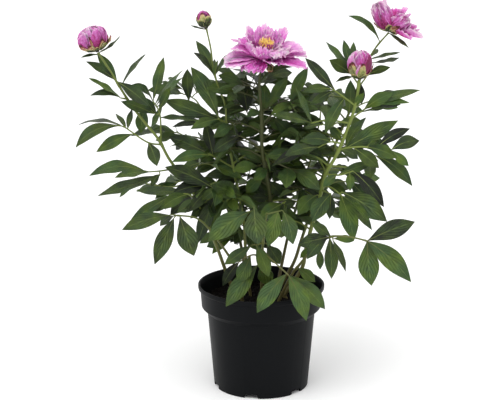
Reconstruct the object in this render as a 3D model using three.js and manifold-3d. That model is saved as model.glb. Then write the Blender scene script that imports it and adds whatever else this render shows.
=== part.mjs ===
import * as THREE from "three";
import { mergeVertices } from "three/addons/utils/BufferGeometryUtils.js";
import Module from "manifold-3d";

// A herbaceous peony in flower, growing in a black moulded nursery pot.
// Millimetres, +Z up, +X to the right of the front view, the front at -Y.
// The origin is the middle of the pot's floor, on the surface that it stands on.

// The pot
const RIM_RADIUS = 112.5;
const POT_HEIGHT = 187;
const COLLAR_HEIGHT = 40;
const SHOULDER_HEIGHT = 10;
const LIP_HEIGHT = 9;
const WALL = 1.6;
const COLLAR_TOP_RADIUS = 108.6;
const COLLAR_FOOT_RADIUS = 106.4;
const SHOULDER_RADIUS = 96;
const FOOT_RADIUS = 84.4;
const FLOOR_DISC_RADIUS = 60;
const CHANNEL_HEIGHT = 6;
const CHANNEL_SLOPE = 2;
const STANDING_RING = 5;
const NOTCH_WIDTH = 24;
const NOTCH_HEIGHT = 7;
const NOTCH_COUNT = 6;
const NOTCH_TURN = -102.5;
const POT_SIDES = 28;

// The soil
const SOIL_BELOW_RIM = 30;
const SOIL_BUMP = 1.6;
const CLEARANCE = 0.35;
const PEG_DEPTH = 24;
const PEG_PROUD = 9;
const HOLE_SIDES = 8;

// Leaves and stalks
const BLADE_THICKNESS = 0.8;
const BLADE_ARCH = 0.08;
const STALKLET_WIDTH = 1.8;
const STEM_SIDES = 5;
const STALK_SIDES = 3;
const STALK_FOOT_RADIUS = 1.7;
const STALK_TIP_RADIUS = 1.4;
// A leaflet is never narrower than this share of its length: one that looks so is turned edge on.
const LEAST_LEAFLET_WIDTH = 0.27;
const FAR_LEAFLET_LENGTH = 92;

// Petals and sepals
const PETAL_THICKNESS = 0.9;
const SEPAL_THICKNESS = 1.1;
const SEAT_GAP = 0.4;
// The inside of the sepals round a bud, as a share of the size of the ball of petals in them.
const SEPAL_INNER = 1.23;
// The foot of a ball of petals above its seat, and the green cup's top just below it.
const NECK_FOOT = 2.9;
const CUP_DEPTH = 2.5;
const CUP_TOP = NECK_FOOT - 0.3;

// The colours of the pieces
const POT_BLACK = 0x232427;
const SOIL_BROWN = 0x2a211b;
const LEAF_GREEN = 0x3f6233;
const PETAL_PINK = 0xd078be;
const BUD_PINK = 0xc95f9f;
const STAMEN_YELLOW = 0xe6b432;
const SEPAL_GREEN = 0x7d8a45;

// The front view is noted in the places of a picture 500 wide and 400 high. The eye stands in
// front of the pot, looks down on it by EYE_PITCH, and sees EYE_SCALE places a radian.
const EYE = new THREE.Vector3(-20, -2400, 929);
const EYE_PITCH = THREE.MathUtils.degToRad(13.8);
const EYE_SCALE = 1406;
const VIEW_MIDDLE = { px: 250, py: 200 };
const UP = new THREE.Vector3(0, 0, 1);

const wasm = await Module();
wasm.setup();

// The point seen at (px, py) that lies at the given depth behind the pot's axis.
function seen(px, py, depth) {
  const right = (px - VIEW_MIDDLE.px) / EYE_SCALE;
  const up = (VIEW_MIDDLE.py - py) / EYE_SCALE;
  const line = new THREE.Vector3(
    right,
    Math.cos(EYE_PITCH) + up * Math.sin(EYE_PITCH),
    up * Math.cos(EYE_PITCH) - Math.sin(EYE_PITCH),
  );
  return line.multiplyScalar((depth - EYE.y) / line.y).add(EYE);
}

// An even draw from 0 to 1 that is the same every time.
function draw(seed, turn) {
  const wave = Math.sin(seed * 12.9898 + turn * 78.233) * 43758.5453;
  return wave - Math.floor(wave);
}

function geometryOf(points, faces) {
  const geometry = new THREE.BufferGeometry();
  const numbers = points.flatMap((point) => point.toArray());
  geometry.setAttribute("position", new THREE.Float32BufferAttribute(numbers, 3));
  geometry.setIndex(faces.flat());
  return geometry;
}

// A closed geometry as a solid: shared corners are merged, collapsed triangles dropped.
function solidOf(geometry) {
  const bare = geometry.clone();
  bare.deleteAttribute("normal");
  bare.deleteAttribute("uv");
  const merged = mergeVertices(bare, 1e-3);
  const corners = merged.index.array;
  const kept = [];
  for (let i = 0; i < corners.length; i += 3) {
    const [a, b, c] = [corners[i], corners[i + 1], corners[i + 2]];
    if (a !== b && b !== c && c !== a) {
      kept.push(a, b, c);
    }
  }
  return new wasm.Manifold(new wasm.Mesh({
    numProp: 3,
    vertProperties: new Float32Array(merged.attributes.position.array),
    triVerts: new Uint32Array(kept),
  }));
}

// The solids joined into one body. A speck that two grazing blades leave loose is dropped.
function joined(solids) {
  const pieces = solids.reduce((whole, solid) => whole.add(solid)).decompose();
  return pieces.reduce((largest, piece) => (piece.volume() > largest.volume() ? piece : largest));
}

// A thin plate between two grids of points, rows along it and columns across it. Both faces are
// split into triangles alike. Upper is the side that row direction x column direction points to.
function plate(upper, lower) {
  const rows = upper.length;
  const columns = upper[0].length;
  const points = [...upper.flat(), ...lower.flat()];
  const top = (r, c) => r * columns + c;
  const under = (r, c) => rows * columns + r * columns + c;
  const faces = [];
  for (let r = 0; r < rows - 1; r += 1) {
    for (let c = 0; c < columns - 1; c += 1) {
      faces.push([top(r, c), top(r + 1, c), top(r + 1, c + 1)]);
      faces.push([top(r, c), top(r + 1, c + 1), top(r, c + 1)]);
      faces.push([under(r, c), under(r + 1, c + 1), under(r + 1, c)]);
      faces.push([under(r, c), under(r, c + 1), under(r + 1, c + 1)]);
    }
    faces.push([top(r, 0), under(r, 0), under(r + 1, 0)]);
    faces.push([top(r, 0), under(r + 1, 0), top(r + 1, 0)]);
    const last = columns - 1;
    faces.push([top(r, last), under(r + 1, last), under(r, last)]);
    faces.push([top(r, last), top(r + 1, last), under(r + 1, last)]);
  }
  for (let c = 0; c < columns - 1; c += 1) {
    faces.push([top(0, c), under(0, c + 1), under(0, c)]);
    faces.push([top(0, c), top(0, c + 1), under(0, c + 1)]);
    const end = rows - 1;
    faces.push([top(end, c), under(end, c), under(end, c + 1)]);
    faces.push([top(end, c), under(end, c + 1), top(end, c + 1)]);
  }
  return solidOf(geometryOf(points, faces));
}

// A tapering round stalk whose middle runs straight from each point to the next.
function stalk(points, startRadius, endRadius, sides) {
  const steps = points.length - 1;
  const curve = new THREE.CatmullRomCurve3(points);
  const frames = curve.computeFrenetFrames(steps, false);
  const corners = [];
  points.forEach((middle, i) => {
    const radius = THREE.MathUtils.lerp(startRadius, endRadius, i / steps);
    for (let j = 0; j < sides; j += 1) {
      const angle = (2 * Math.PI * j) / sides;
      corners.push(middle.clone()
        .addScaledVector(frames.normals[i], radius * Math.cos(angle))
        .addScaledVector(frames.binormals[i], radius * Math.sin(angle)));
    }
  });
  const faces = [];
  for (let j = 0; j < sides; j += 1) {
    const next = (j + 1) % sides;
    for (let i = 0; i < steps; i += 1) {
      const [a, b] = [i * sides + j, i * sides + next];
      faces.push([a, b, b + sides]);
      faces.push([a, b + sides, a + sides]);
    }
    faces.push([corners.length, next, j]);
    faces.push([corners.length + 1, steps * sides + j, steps * sides + next]);
  }
  corners.push(points[0], points[steps]);
  return solidOf(geometryOf(corners, faces));
}

// The half width of a leaflet's outline from its foot, 0, to its tip, 1, as a share of the widest.
const LEAFLET_OUTLINE = [[0.3, 0.9], [0.64, 0.86], [1, 0]];

// One leaflet: a thin blade, arched from base to tip, on a short stalk of its own that starts in
// the hub, the middle of the stalk that carries it. Normal points out of its upper face.
function leaflet(hub, base, tip, normal, width, arch) {
  const axis = tip.clone().sub(base).normalize();
  const length = base.distanceTo(tip);
  const upper = [];
  const lower = [];
  const addRow = (middle, direction, half, thickness) => {
    const across = normal.clone().cross(direction).normalize();
    const out = direction.clone().cross(across).normalize();
    const row = [-1, 1].map((side) => middle.clone().addScaledVector(across, side * half));
    upper.push(row.map((point) => point.clone().addScaledVector(out, thickness / 2)));
    lower.push(row.map((point) => point.clone().addScaledVector(out, -thickness / 2)));
  };
  if (hub.distanceTo(base) > 0.5) {
    const away = base.clone().sub(hub).normalize();
    addRow(hub, away, STALKLET_WIDTH / 2, 2 * BLADE_THICKNESS);
    addRow(base, away.add(axis).normalize(), STALKLET_WIDTH / 2, 2 * BLADE_THICKNESS);
  } else {
    addRow(hub, axis, STALKLET_WIDTH / 2, 2 * BLADE_THICKNESS);
  }
  for (const [along, share] of LEAFLET_OUTLINE) {
    const rib = base.clone().lerp(tip, along)
      .addScaledVector(normal, 4 * along * (1 - along) * arch * length);
    addRow(rib, axis, share * width * 0.5, BLADE_THICKNESS);
  }
  return plate(upper, lower);
}

// The direction out of a leaflet's upper face, for the width that the front view shows. The
// blade is rolled round its rib until it looks that wide, with its face to the light.
function faceOf(base, tip, shownWidth, width) {
  const axis = tip.clone().sub(base).normalize();
  const sight = base.clone().sub(EYE).normalize();
  const light = UP.clone().addScaledVector(sight, -0.6);
  const flat = axis.clone().cross(sight).normalize();
  const edgeOn = axis.clone().cross(flat);
  const roll = Math.acos(Math.min(1, shownWidth / width));
  let best = null;
  for (const turn of [roll, -roll, Math.PI - roll, Math.PI + roll]) {
    const across = flat.clone().multiplyScalar(Math.cos(turn))
      .addScaledVector(edgeOn, Math.sin(turn));
    const normal = axis.clone().cross(across);
    const facing = normal.dot(light);
    if (best === null || facing > best.facing) {
      best = { normal, facing };
    }
  }
  return best.normal;
}

// A smooth route through places of the front view, as straight steps of even length.
function routeOf(places, steps) {
  const curve = new THREE.CatmullRomCurve3(places.map((place) => new THREE.Vector3(...place)));
  return curve.getSpacedPoints(steps);
}

// The place on a route nearest to (px, py) in the front view.
function nearestPlace(route, px, py) {
  let nearest = null;
  let least = Infinity;
  const wanted = new THREE.Vector3(px, py, 0);
  for (let i = 1; i < route.length; i += 1) {
    const flat = new THREE.Line3(route[i - 1].clone().setZ(0), route[i].clone().setZ(0));
    const share = flat.closestPointToPointParameter(wanted, true);
    const place = route[i - 1].clone().lerp(route[i], share);
    const distance = Math.hypot(place.x - px, place.y - py);
    if (distance < least) {
      least = distance;
      nearest = place;
    }
  }
  return nearest;
}

// A leafy stem under way: its route in the front view, its size and what has grown on it.
class LeafyStem {
  // foot is its place on the soil, places are those [px, py, depth] that it passes, foot to top.
  constructor(name, foot, places, footRadius, topRadius, steps = 9) {
    this.name = name;
    this.foot = foot;
    this.footRadius = footRadius;
    this.topRadius = topRadius;
    const soilTop = POT_HEIGHT - SOIL_BELOW_RIM;
    const pegFoot = new THREE.Vector3(foot[0], foot[1], soilTop - PEG_DEPTH);
    const pegTop = pegFoot.clone().setZ(soilTop + PEG_PROUD);
    this.route = routeOf(places, steps);
    const path = [pegTop, ...this.route.map((place) => seen(...place))];
    this.top = path[path.length - 1];
    this.topDirection = new THREE.CatmullRomCurve3(path).getTangentAt(1);
    this.solids = [
      stalk([pegFoot, pegTop.clone().setZ(pegTop.z + 2)], footRadius, footRadius, STEM_SIDES),
      stalk(path, footRadius, topRadius, STEM_SIDES),
    ];
  }

  // One leaf: its stalk starts on the stem at the place nearest to its first point. Each blade is
  // [base px, base py, tip px, tip py, width shown, lean], lean being how far the tip lies behind
  // the base; a negative lean comes towards the eye.
  leaf(places, blades) {
    const start = nearestPlace(this.route, places[0][0], places[0][1]);
    let route = this.route;
    if (places.length > 1) {
      const way = [start.toArray(), ...places.slice(1)];
      const reach = Math.hypot(way.at(-1)[0] - start.x, way.at(-1)[1] - start.y);
      route = routeOf(way, reach > 24 ? 3 : 2);
      this.stalk(route.map((place) => seen(...place)));
    }
    for (const [baseX, baseY, tipX, tipY, shown, lean, arch = BLADE_ARCH] of blades) {
      this.blade(route, [baseX, baseY], [tipX, tipY], shown, lean, arch);
    }
    return this;
  }

  // A leaf's own stalk.
  stalk(points) {
    this.solids.push(stalk(points, STALK_FOOT_RADIUS, STALK_TIP_RADIUS, STALK_SIDES));
  }

  // One leaflet, on a short stalk of its own where its base lies off the leaf's stalk.
  blade(route, basePlace, tipPlace, shown, lean, arch) {
    const root = nearestPlace(route, ...basePlace);
    const stalkletShare = Math.hypot(root.x - basePlace[0], root.y - basePlace[1]);
    const bladeShare = Math.hypot(tipPlace[0] - basePlace[0], tipPlace[1] - basePlace[1]);
    const baseDepth = root.z + (lean * stalkletShare) / (stalkletShare + bladeShare);
    const hub = seen(...root);
    const marked = seen(basePlace[0], basePlace[1], baseDepth);
    const base = hub.distanceTo(marked) < 5 ? hub : marked;
    const tip = seen(tipPlace[0], tipPlace[1], root.z + lean);
    const shownWidth = (shown / EYE_SCALE) * base.distanceTo(EYE);
    const width = Math.max(shownWidth, LEAST_LEAFLET_WIDTH * base.distanceTo(tip));
    const normal = faceOf(base, tip, shownWidth, width);
    this.solids.push(leaflet(hub, base, tip, normal, width, arch));
  }

  // A leaf on the far side: three leaflets at the end of a stalk that leaves the stem at a share
  // of its height, in a direction given in degrees from +X, all in millimetres.
  farLeaf(share, heading, reach) {
    const outward = new THREE.Vector3(
      Math.cos(THREE.MathUtils.degToRad(heading)),
      Math.sin(THREE.MathUtils.degToRad(heading)),
      0,
    );
    const at = share * (this.route.length - 1);
    const before = Math.min(Math.floor(at), this.route.length - 2);
    const from = seen(...this.route[before].clone().lerp(this.route[before + 1], at - before));
    const hub = from.clone().addScaledVector(outward, reach).addScaledVector(UP, 0.35 * reach);
    const bend = from.clone().lerp(hub, 0.5).addScaledVector(UP, 0.08 * reach);
    this.stalk([from, bend, hub]);
    for (const [fan, droop, share] of [[-58, 0.15, 0.85], [0, 0.35, 1], [58, 0.15, 0.85]]) {
      const direction = outward.clone().applyAxisAngle(UP, THREE.MathUtils.degToRad(fan));
      direction.addScaledVector(UP, -droop).normalize();
      const tip = hub.clone().addScaledVector(direction, share * FAR_LEAFLET_LENGTH);
      this.solids.push(leaflet(hub, hub, tip, UP, 0.34 * FAR_LEAFLET_LENGTH, BLADE_ARCH));
    }
  }

  solid() {
    return joined(this.solids);
  }

  // The plain round hole in the soil that the stem's foot stands in.
  hole() {
    const radius = (this.footRadius + CLEARANCE) / Math.cos(Math.PI / HOLE_SIDES);
    const height = PEG_DEPTH + CLEARANCE + 2 * PEG_PROUD;
    const bottom = POT_HEIGHT - SOIL_BELOW_RIM - PEG_DEPTH - CLEARANCE;
    const geometry = new THREE.CylinderGeometry(radius, radius, height, HOLE_SIDES);
    geometry.rotateX(Math.PI / 2);
    geometry.translate(this.foot[0], this.foot[1], bottom + height / 2);
    return solidOf(geometry);
  }
}

// The stem of the left bud, which leans out to the left, with its leaves from top to foot.
const leftBudStem = new LeafyStem("stem_left_bud", [-49, 12], [
  [225, 269, 5], [214, 239, -5], [200, 205, -10], [186, 182, -12], [171.5, 163, -14],
  [157.6, 138, -16], [138.5, 115, -18], [124, 94, -20], [114, 77, -20], [98, 52.5, -22],
], 3.6, 1.9, 11)
  .leaf([[119, 85]], [
    [117, 82, 98, 54, 11, 25], [119, 82, 154, 115, 12, -30],
  ])
  .leaf([[128, 99], [121, 98, -30]], [
    [121, 98, 88.7, 78, 5, -15], [121, 98, 90.3, 95.5, 6, -10, 0.16],
  ])
  .leaf([[132, 107], [146, 104, -10]], [
    [146, 103, 120.6, 102, 6, 35], [146, 106, 146, 132, 13, -15],
  ])
  .leaf([[161, 143], [160, 115, -8], [153, 101, -2]], [
    [152, 100, 131, 85, 6, -30, 0.16], [152, 100, 163.7, 57.3, 10, 15],
    [155, 104, 182.5, 74, 6, 20], [158, 110, 170.7, 86.7, 8, -25],
  ])
  .leaf([[162, 145], [147, 142, -32], [126, 128, -42]], [
    [126, 128, 78, 125, 3, 20, 0.12], [121, 126, 75.6, 147.6, 12, -30],
    [128, 128, 132, 109, 6, 25],
    [134, 134, 96.4, 152, 12, -35], [146, 142, 154, 165, 13, -35],
  ])
  .leaf([[176, 168], [160, 171, -45], [147, 172, -55]], [
    [147.4, 171, 89.3, 175.7, 11, -15, 0.14],
    [155.7, 173, 97.9, 195.8, 8, -50], [160, 174, 151, 187, 7, -35],
  ])
  .leaf([[187, 184], [170, 187, 12], [150, 184, 22]], [
    [150, 184, 119.3, 197.4, 9, 25], [170, 187, 155, 199, 7, 30],
  ])
  .leaf([[205, 214], [190, 195, -45], [170, 196, -60]], [
    [188, 194, 160.5, 209.5, 13, -40], [168, 196, 130, 221, 10, -10],
  ]);

// The thin stem of the small bud, left of the middle.
const smallBudStem = new LeafyStem("stem_small_bud", [-20, 14], [
  [246, 262, 0], [244, 225, -5], [240, 200, -6], [234, 170, 0], [229, 145, 5], [226, 122, 8],
  [225, 104, 8], [220, 91, 5], [214.4, 75.5, 0], [211, 50, -5], [206.5, 29, -5],
], 2.8, 1.3, 11)
  .leaf([[214.4, 76]], [
    [214, 75, 196, 40.7, 10, 25], [214, 76, 193.7, 52.6, 6, -25], [215, 75, 236, 49, 5, 20],
    [221, 94, 226, 75, 11, 35],
  ])
  .leaf([[226, 122], [206, 112, 22], [189, 102, 28]], [
    [189, 102, 187.3, 69, 12, 20],
  ])
  .leaf([[226, 127], [219, 119, -8]], [
    [219, 119, 191, 67, 17, 20], [219, 119, 162, 100, 14, -10], [218, 120, 190.8, 129, 10, -25],
  ])
  .leaf([[233, 168], [213, 156, -20]], [
    [209, 154, 169, 137, 14, 30], [209, 155, 172, 162, 11, -40], [213, 155, 205.5, 123, 12, 25],
  ])
  .leaf([[235, 178]], [
    [230, 176, 237, 142, 11, 40],
  ])
  .leaf([[242, 212], [229, 194, -20], [213, 188, -32]], [
    [212, 186, 165, 167, 17, -5], [213, 190, 189, 212, 13, -18], [219, 192, 198, 243, 14, -15],
  ])
  .leaf([[240, 198]], [
    [242, 197, 211, 185, 18, -75],
  ]);

// The stem of the open bloom, upright in the middle.
const openBloomStem = new LeafyStem("stem_open_bloom", [8, 12], [
  [268, 262, 12], [270, 200, 10], [266, 172, 5], [262, 149, 0], [261.9, 124, 0], [260.4, 100, 0],
  [259.5, 78, -4], [263, 63.5, -6],
], 3.6, 2.2)
  .leaf([[260, 82]], [
    [262, 81, 293, 66.5, 7, -25],
  ])
  .leaf([[260.6, 113]], [
    [260, 113, 246.3, 116.8, 8, -45], [268, 110, 288, 77, 12, 25], [264, 110, 265, 86, 9, 30],
  ])
  .leaf([[260.6, 114], [247, 113, 22]], [
    [246, 112, 240, 80, 18, 25],
  ])
  .leaf([[262, 124], [276, 111, 5], [290, 103, 8]], [
    [290, 103, 308, 67, 12, 12], [290, 104, 268, 116, 8, -40],
  ])
  .leaf([[262, 149], [250, 141, -12], [240, 136, -14]], [
    [240, 136, 213, 152, 13, -35],
  ])
  .leaf([[265, 165]], [
    [258, 166, 233, 170, 12, -50], [267, 168, 254, 180, 12, -50],
  ])
  .leaf([[264, 160], [276, 163, -18], [288, 168, -28]], [
    [286, 168, 286, 188, 18, -55], [292, 170, 320, 190, 16, -45],
  ]);

// The stout stem of the right bud.
const rightBudStem = new LeafyStem("stem_right_bud", [44, 8], [
  [302, 268, 2], [307.7, 241, -4], [320.6, 194.6, -12], [325, 175.5, -16], [337.5, 153, -20],
  [347.4, 129, -20], [355.7, 104.6, -20], [358, 89, -20], [359.2, 79.5, -20],
], 4.3, 2.6, 11)
  .leaf([[358.6, 84], [351, 74, 0]], [
    [350, 72, 326, 41.7, 7, 35], [351, 68, 343.7, 39.8, 8, 25], [350, 73, 329.5, 60, 11, -15],
  ])
  .leaf([[358, 88], [367, 76, 0]], [
    [367, 75, 390.4, 67.3, 8, -20],
  ])
  .leaf([[359, 82]], [
    [361, 80, 364, 96, 6, -40], [351, 117, 351, 81, 12, 35],
  ])
  .leaf([[355.5, 106], [345, 98, -32], [334, 90, -40]], [
    [344, 98, 325, 134, 12, -35], [336, 92, 305.3, 58, 8, 10], [333, 88, 303, 92, 9, -30],
    [334, 91, 310, 105, 8, -15],
  ])
  .leaf([[352, 118], [362, 111, -5], [372, 104, 0]], [
    [363, 110, 393, 93, 13, -5, 0.2], [372, 104, 420, 90, 9, -5], [372, 104, 409.6, 102.7, 8, -20],
  ])
  .leaf([[349.5, 124], [328, 120, -32], [312, 123, -40]], [
    [326, 120, 326, 104, 13, 45], [312, 123, 296, 88, 6, -20], [312, 122, 272, 115, 9, -35],
  ])
  .leaf([[341, 144], [330, 142, -32], [319, 147, -42]], [
    [331, 141, 300, 141, 13, -40], [319, 147, 285, 155.5, 12, -65], [319, 149, 272, 166, 11, -25],
  ])
  .leaf([[339.5, 150], [350, 147.5, -32], [366, 147, -38], [391, 150, -42]], [
    [352, 147, 379, 168, 14, -10], [368, 147, 397, 158, 13, -35], [377, 147, 410, 128.6, 12, 20],
    [390, 150, 419.5, 140.7, 12, 15], [346, 148, 398, 120.6, 13, 10],
    [346, 148, 366, 117.4, 10, 50], [366, 146, 383, 134, 8, 30], [390, 150, 408.7, 166, 9, 5],
  ])
  .leaf([[331.5, 166], [355, 167, 4], [378, 160, 6]], [
    [371, 163, 370.5, 179, 12, -45], [378, 160, 412.3, 186, 12, -20],
  ])
  .leaf([[326, 174], [340, 175, -30], [353, 171, -40]], [
    [353, 171, 384, 207, 15, -25], [350, 172, 350, 191, 9, -35], [338, 176, 372, 163, 10, 10],
  ])
  .leaf([[322.5, 186], [332, 188, -32], [341, 195, -50]], [
    [340, 195, 353.8, 241, 18, -15], [341, 194, 385, 222, 18, -30],
  ])
  .leaf([[321, 192]], [
    [317, 195, 297.6, 215, 15, -50],
  ])
  .leaf([[321, 190], [331, 194, -44]], [
    [331, 194, 312, 222, 17, -45],
  ]);

// The stem of the upper right bloom, which rises behind the right bud's.
const upperBloomStem = new LeafyStem("stem_upper_bloom", [34, 38], [
  [294, 262, 42], [303, 235, 46], [318, 190, 50], [333, 150, 50], [350, 110, 46], [362, 75, 40],
  [370.5, 56.6, 34], [380.4, 40.6, 30], [388.8, 32.5, 30],
], 3.6, 1.9, 11)
  .leaf([[370.5, 57]], [
    [371, 60, 400, 55, 5, -10],
  ])
  .leaf([[379, 42.5]], [
    [378, 42, 348, 15.7, 9, -15],
  ])
  .leaf([[383, 38]], [
    [384, 38, 408.8, 47.8, 5, -25],
  ])
  .leaf([[350, 110], [362, 104, 80], [374, 100, 95]], [
    [374, 100, 400, 84, 10, 42], [371, 101, 398, 108, 12, 14],
  ])
  .leaf([[333, 150], [318, 144, 80], [306, 142, 95]], [
    [306, 142, 280, 130, 12, 40], [308, 142, 292, 160, 13, 20], [309, 142.5, 308, 118, 12, 38],
  ])
  .leaf([[318, 190], [336, 182, 80], [352, 182, 95]], [
    [352, 182, 380, 178, 12, 40], [351, 183, 368, 202, 14, -10],
  ])
  .leaf([[305, 228], [288, 218, 70]], [
    [288, 218, 266, 206, 13, 40], [288, 218, 278, 236, 14, 10],
  ]);

// A low leafy stem at the left, in front.
const lowLeftStem = new LeafyStem("stem_low_left", [-34, -26], [
  [241, 276, -38], [229, 256, -58], [210, 230, -80], [196, 218, -90], [177, 215.5, -96],
], 3.2, 1.4, 6)
  .leaf([[178, 215.5]], [
    [170, 215, 122, 230, 15, -30], [174, 218, 154.6, 264.4, 16, -15],
    [179, 216, 193.2, 255.8, 17, -25],
  ]);

// A low leafy stem in front of the middle.
const lowFrontStem = new LeafyStem("stem_low_front", [0, -30], [
  [262, 276, -48], [262, 256, -66], [264, 234, -84], [267, 213, -92],
], 3.4, 1.4, 6)
  .leaf([[265, 225], [256, 212, -100], [247, 212, -104]], [
    [244, 214, 207.6, 241.3, 20, -25], [253, 209, 258, 244.4, 21, -45],
  ])
  .leaf([[267, 214], [280, 211, -98]], [
    [277, 212, 268, 246.6, 14, -35], [282, 212, 293, 244.4, 15, -40],
  ])
  .leaf([[263, 243], [256, 245, -84]], [
    [252, 245, 224.5, 264.5, 9, -25], [256, 246, 268.8, 277, 12, -30],
  ])
  .leaf([[263, 242]], [
    [267, 244, 280, 264, 15, 30],
  ])
  .leaf([[262, 257], [252, 255, -76], [239, 262, -66]], [
    [251.5, 256, 238.4, 283.2, 12, -10], [238.4, 262.7, 222.8, 285.9, 9, 10],
  ])
  .leaf([[262, 262]], [
    [258.5, 264, 225.9, 306.4, 16, -50],
  ])
  .leaf([[263, 250], [272, 260, -110], [288.4, 275, -138]], [
    [286, 276, 257, 312.7, 18, 6], [288.4, 275, 306.3, 320.7, 18, 10],
    [288.4, 275, 325, 309, 17, 36],
  ]);

// A low leafy stem at the right, in front.
const lowRightStem = new LeafyStem("stem_low_right", [32, -30], [
  [292, 274, -48], [300, 264, -62], [314, 248, -82], [330, 237, -96], [350, 237, -104],
  [367, 241, -108],
], 3.2, 1.4, 6)
  .leaf([[366, 241]], [
    [367.5, 241, 414.8, 221.8, 16, -10], [367.5, 241, 371.5, 285.7, 20, -15],
    [367.5, 241, 411, 282, 18, -30],
  ])
  .leaf([[331, 237]], [
    [330, 236, 298, 245, 15, -35], [328, 238, 307, 259, 12, -45], [330, 238, 331.5, 278.8, 14, -25],
    [333, 240, 345.7, 271.5, 7, -40],
  ])
  .leaf([[316, 247]], [
    [319, 248, 320, 269.6, 8, 20],
  ])
  .leaf([[297, 268]], [
    [296, 267, 315, 282, 11, -25],
  ]);

// The stems on the far side: [name, foot, places passed, leaves by share, heading and reach].
const farStems = [
  ["stem_back_left", [-24, 48], [
    [240, 240, 95], [226, 190, 140], [210, 140, 168], [200, 106, 178],
  ], [[0.3, 175, 62], [0.52, 88, 64], [0.75, 200, 56], [1, 120, 34]]],
  ["stem_back_right", [30, 52], [
    [287, 240, 98], [300, 194, 145], [312, 155, 170], [320, 120, 180],
  ], [[0.3, 5, 62], [0.52, 92, 64], [0.75, -20, 56], [1, 60, 34]]],
].map(([name, foot, route, leaves]) => {
  const stem = new LeafyStem(name, foot, route, 3.4, 1.4, 6);
  for (const [share, heading, reach] of leaves) {
    stem.farLeaf(share, heading, reach);
  }
  return stem;
});

const stems = [
  leftBudStem, smallBudStem, openBloomStem, rightBudStem, upperBloomStem,
  lowLeftStem, lowFrontStem, lowRightStem, ...farStems,
];

// The pot: one moulding, turned from a closed profile of wall, shoulder, collar and rolled lip.
function potSolid() {
  const collarFoot = POT_HEIGHT - COLLAR_HEIGHT;
  const shoulderFoot = collarFoot - SHOULDER_HEIGHT;
  const lipFoot = POT_HEIGHT - LIP_HEIGHT;
  const channelInner = FLOOR_DISC_RADIUS + CHANNEL_SLOPE;
  const channelOuter = FOOT_RADIUS - STANDING_RING;
  const profile = [
    [0, 0], [FLOOR_DISC_RADIUS, 0], [channelInner, CHANNEL_HEIGHT],
    [channelOuter, CHANNEL_HEIGHT], [channelOuter + CHANNEL_SLOPE, 0], [FOOT_RADIUS, 0],
    [SHOULDER_RADIUS, shoulderFoot], [COLLAR_FOOT_RADIUS, collarFoot],
    [COLLAR_TOP_RADIUS, lipFoot], [RIM_RADIUS, lipFoot + 2.5], [RIM_RADIUS, POT_HEIGHT - 1.5],
    [RIM_RADIUS - 3, POT_HEIGHT],
    [COLLAR_TOP_RADIUS - WALL, lipFoot], [COLLAR_FOOT_RADIUS - WALL, collarFoot],
    [SHOULDER_RADIUS - WALL, shoulderFoot], [FOOT_RADIUS - WALL - 2, CHANNEL_HEIGHT + WALL],
    [channelInner - 1, CHANNEL_HEIGHT + WALL], [FLOOR_DISC_RADIUS - 1, WALL], [0, WALL],
  ];
  let pot = solidOf(turned(profile));
  for (let i = 0; i < NOTCH_COUNT; i += 1) {
    const cutter = new THREE.BoxGeometry(FOOT_RADIUS / 3, NOTCH_WIDTH, 2 * NOTCH_HEIGHT);
    cutter.translate(FOOT_RADIUS, 0, 0);
    cutter.rotateZ(THREE.MathUtils.degToRad(NOTCH_TURN + (360 / NOTCH_COUNT) * i));
    pot = pot.subtract(solidOf(cutter));
  }
  return pot;
}

// A profile of [radius, height] turned round the pot's axis.
function turned(profile) {
  const geometry = new THREE.LatheGeometry(
    profile.map(([radius, height]) => new THREE.Vector2(radius, height)),
    POT_SIDES,
  );
  return geometry.rotateX(Math.PI / 2);
}

// The soil: it fills the pot a hair inside its wall, and its top is a little uneven.
function soilSolid() {
  const top = POT_HEIGHT - SOIL_BELOW_RIM;
  const collarFoot = POT_HEIGHT - COLLAR_HEIGHT;
  const shoulderFoot = collarFoot - SHOULDER_HEIGHT;
  const gap = WALL + CLEARANCE + 0.1;
  const bottom = WALL + 0.3;
  const floor = CHANNEL_HEIGHT + bottom;
  const topRadius = COLLAR_FOOT_RADIUS - gap;
  const profile = [
    [0, bottom], [FLOOR_DISC_RADIUS - 2, bottom], [FLOOR_DISC_RADIUS, floor],
    [FOOT_RADIUS - gap - 2, floor], [SHOULDER_RADIUS - gap, shoulderFoot],
    [topRadius, collarFoot + 1], [topRadius, top],
    [0.7 * topRadius, top], [0.35 * topRadius, top], [0, top],
  ];
  const geometry = turned(profile);
  const place = geometry.attributes.position;
  for (let i = 0; i < place.count; i += 1) {
    if (place.getZ(i) > top - 0.01) {
      const wave = Math.sin(place.getX(i) / 11) + Math.sin(place.getY(i) / 9 + 1);
      place.setZ(i, top + 0.5 * SOIL_BUMP * wave);
    }
  }
  return stems.reduce((soil, stem) => soil.subtract(stem.hole()), solidOf(geometry));
}

// A bloom's own frame: its seat on the stem, and its axis tilted towards a heading.
function bloomFrame(seat, tilt, heading) {
  const turn = new THREE.Matrix4().makeRotationAxis(
    new THREE.Vector3(-Math.sin(heading), Math.cos(heading), 0),
    tilt,
  );
  return turn.setPosition(seat);
}

// A petal's width from root to edge, as shares of its widest, and the steps of its bending rib.
const PETAL_WIDTHS = [0.07, 0.72, 1, 0.7];
const RIB_STEPS = 24;

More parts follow.
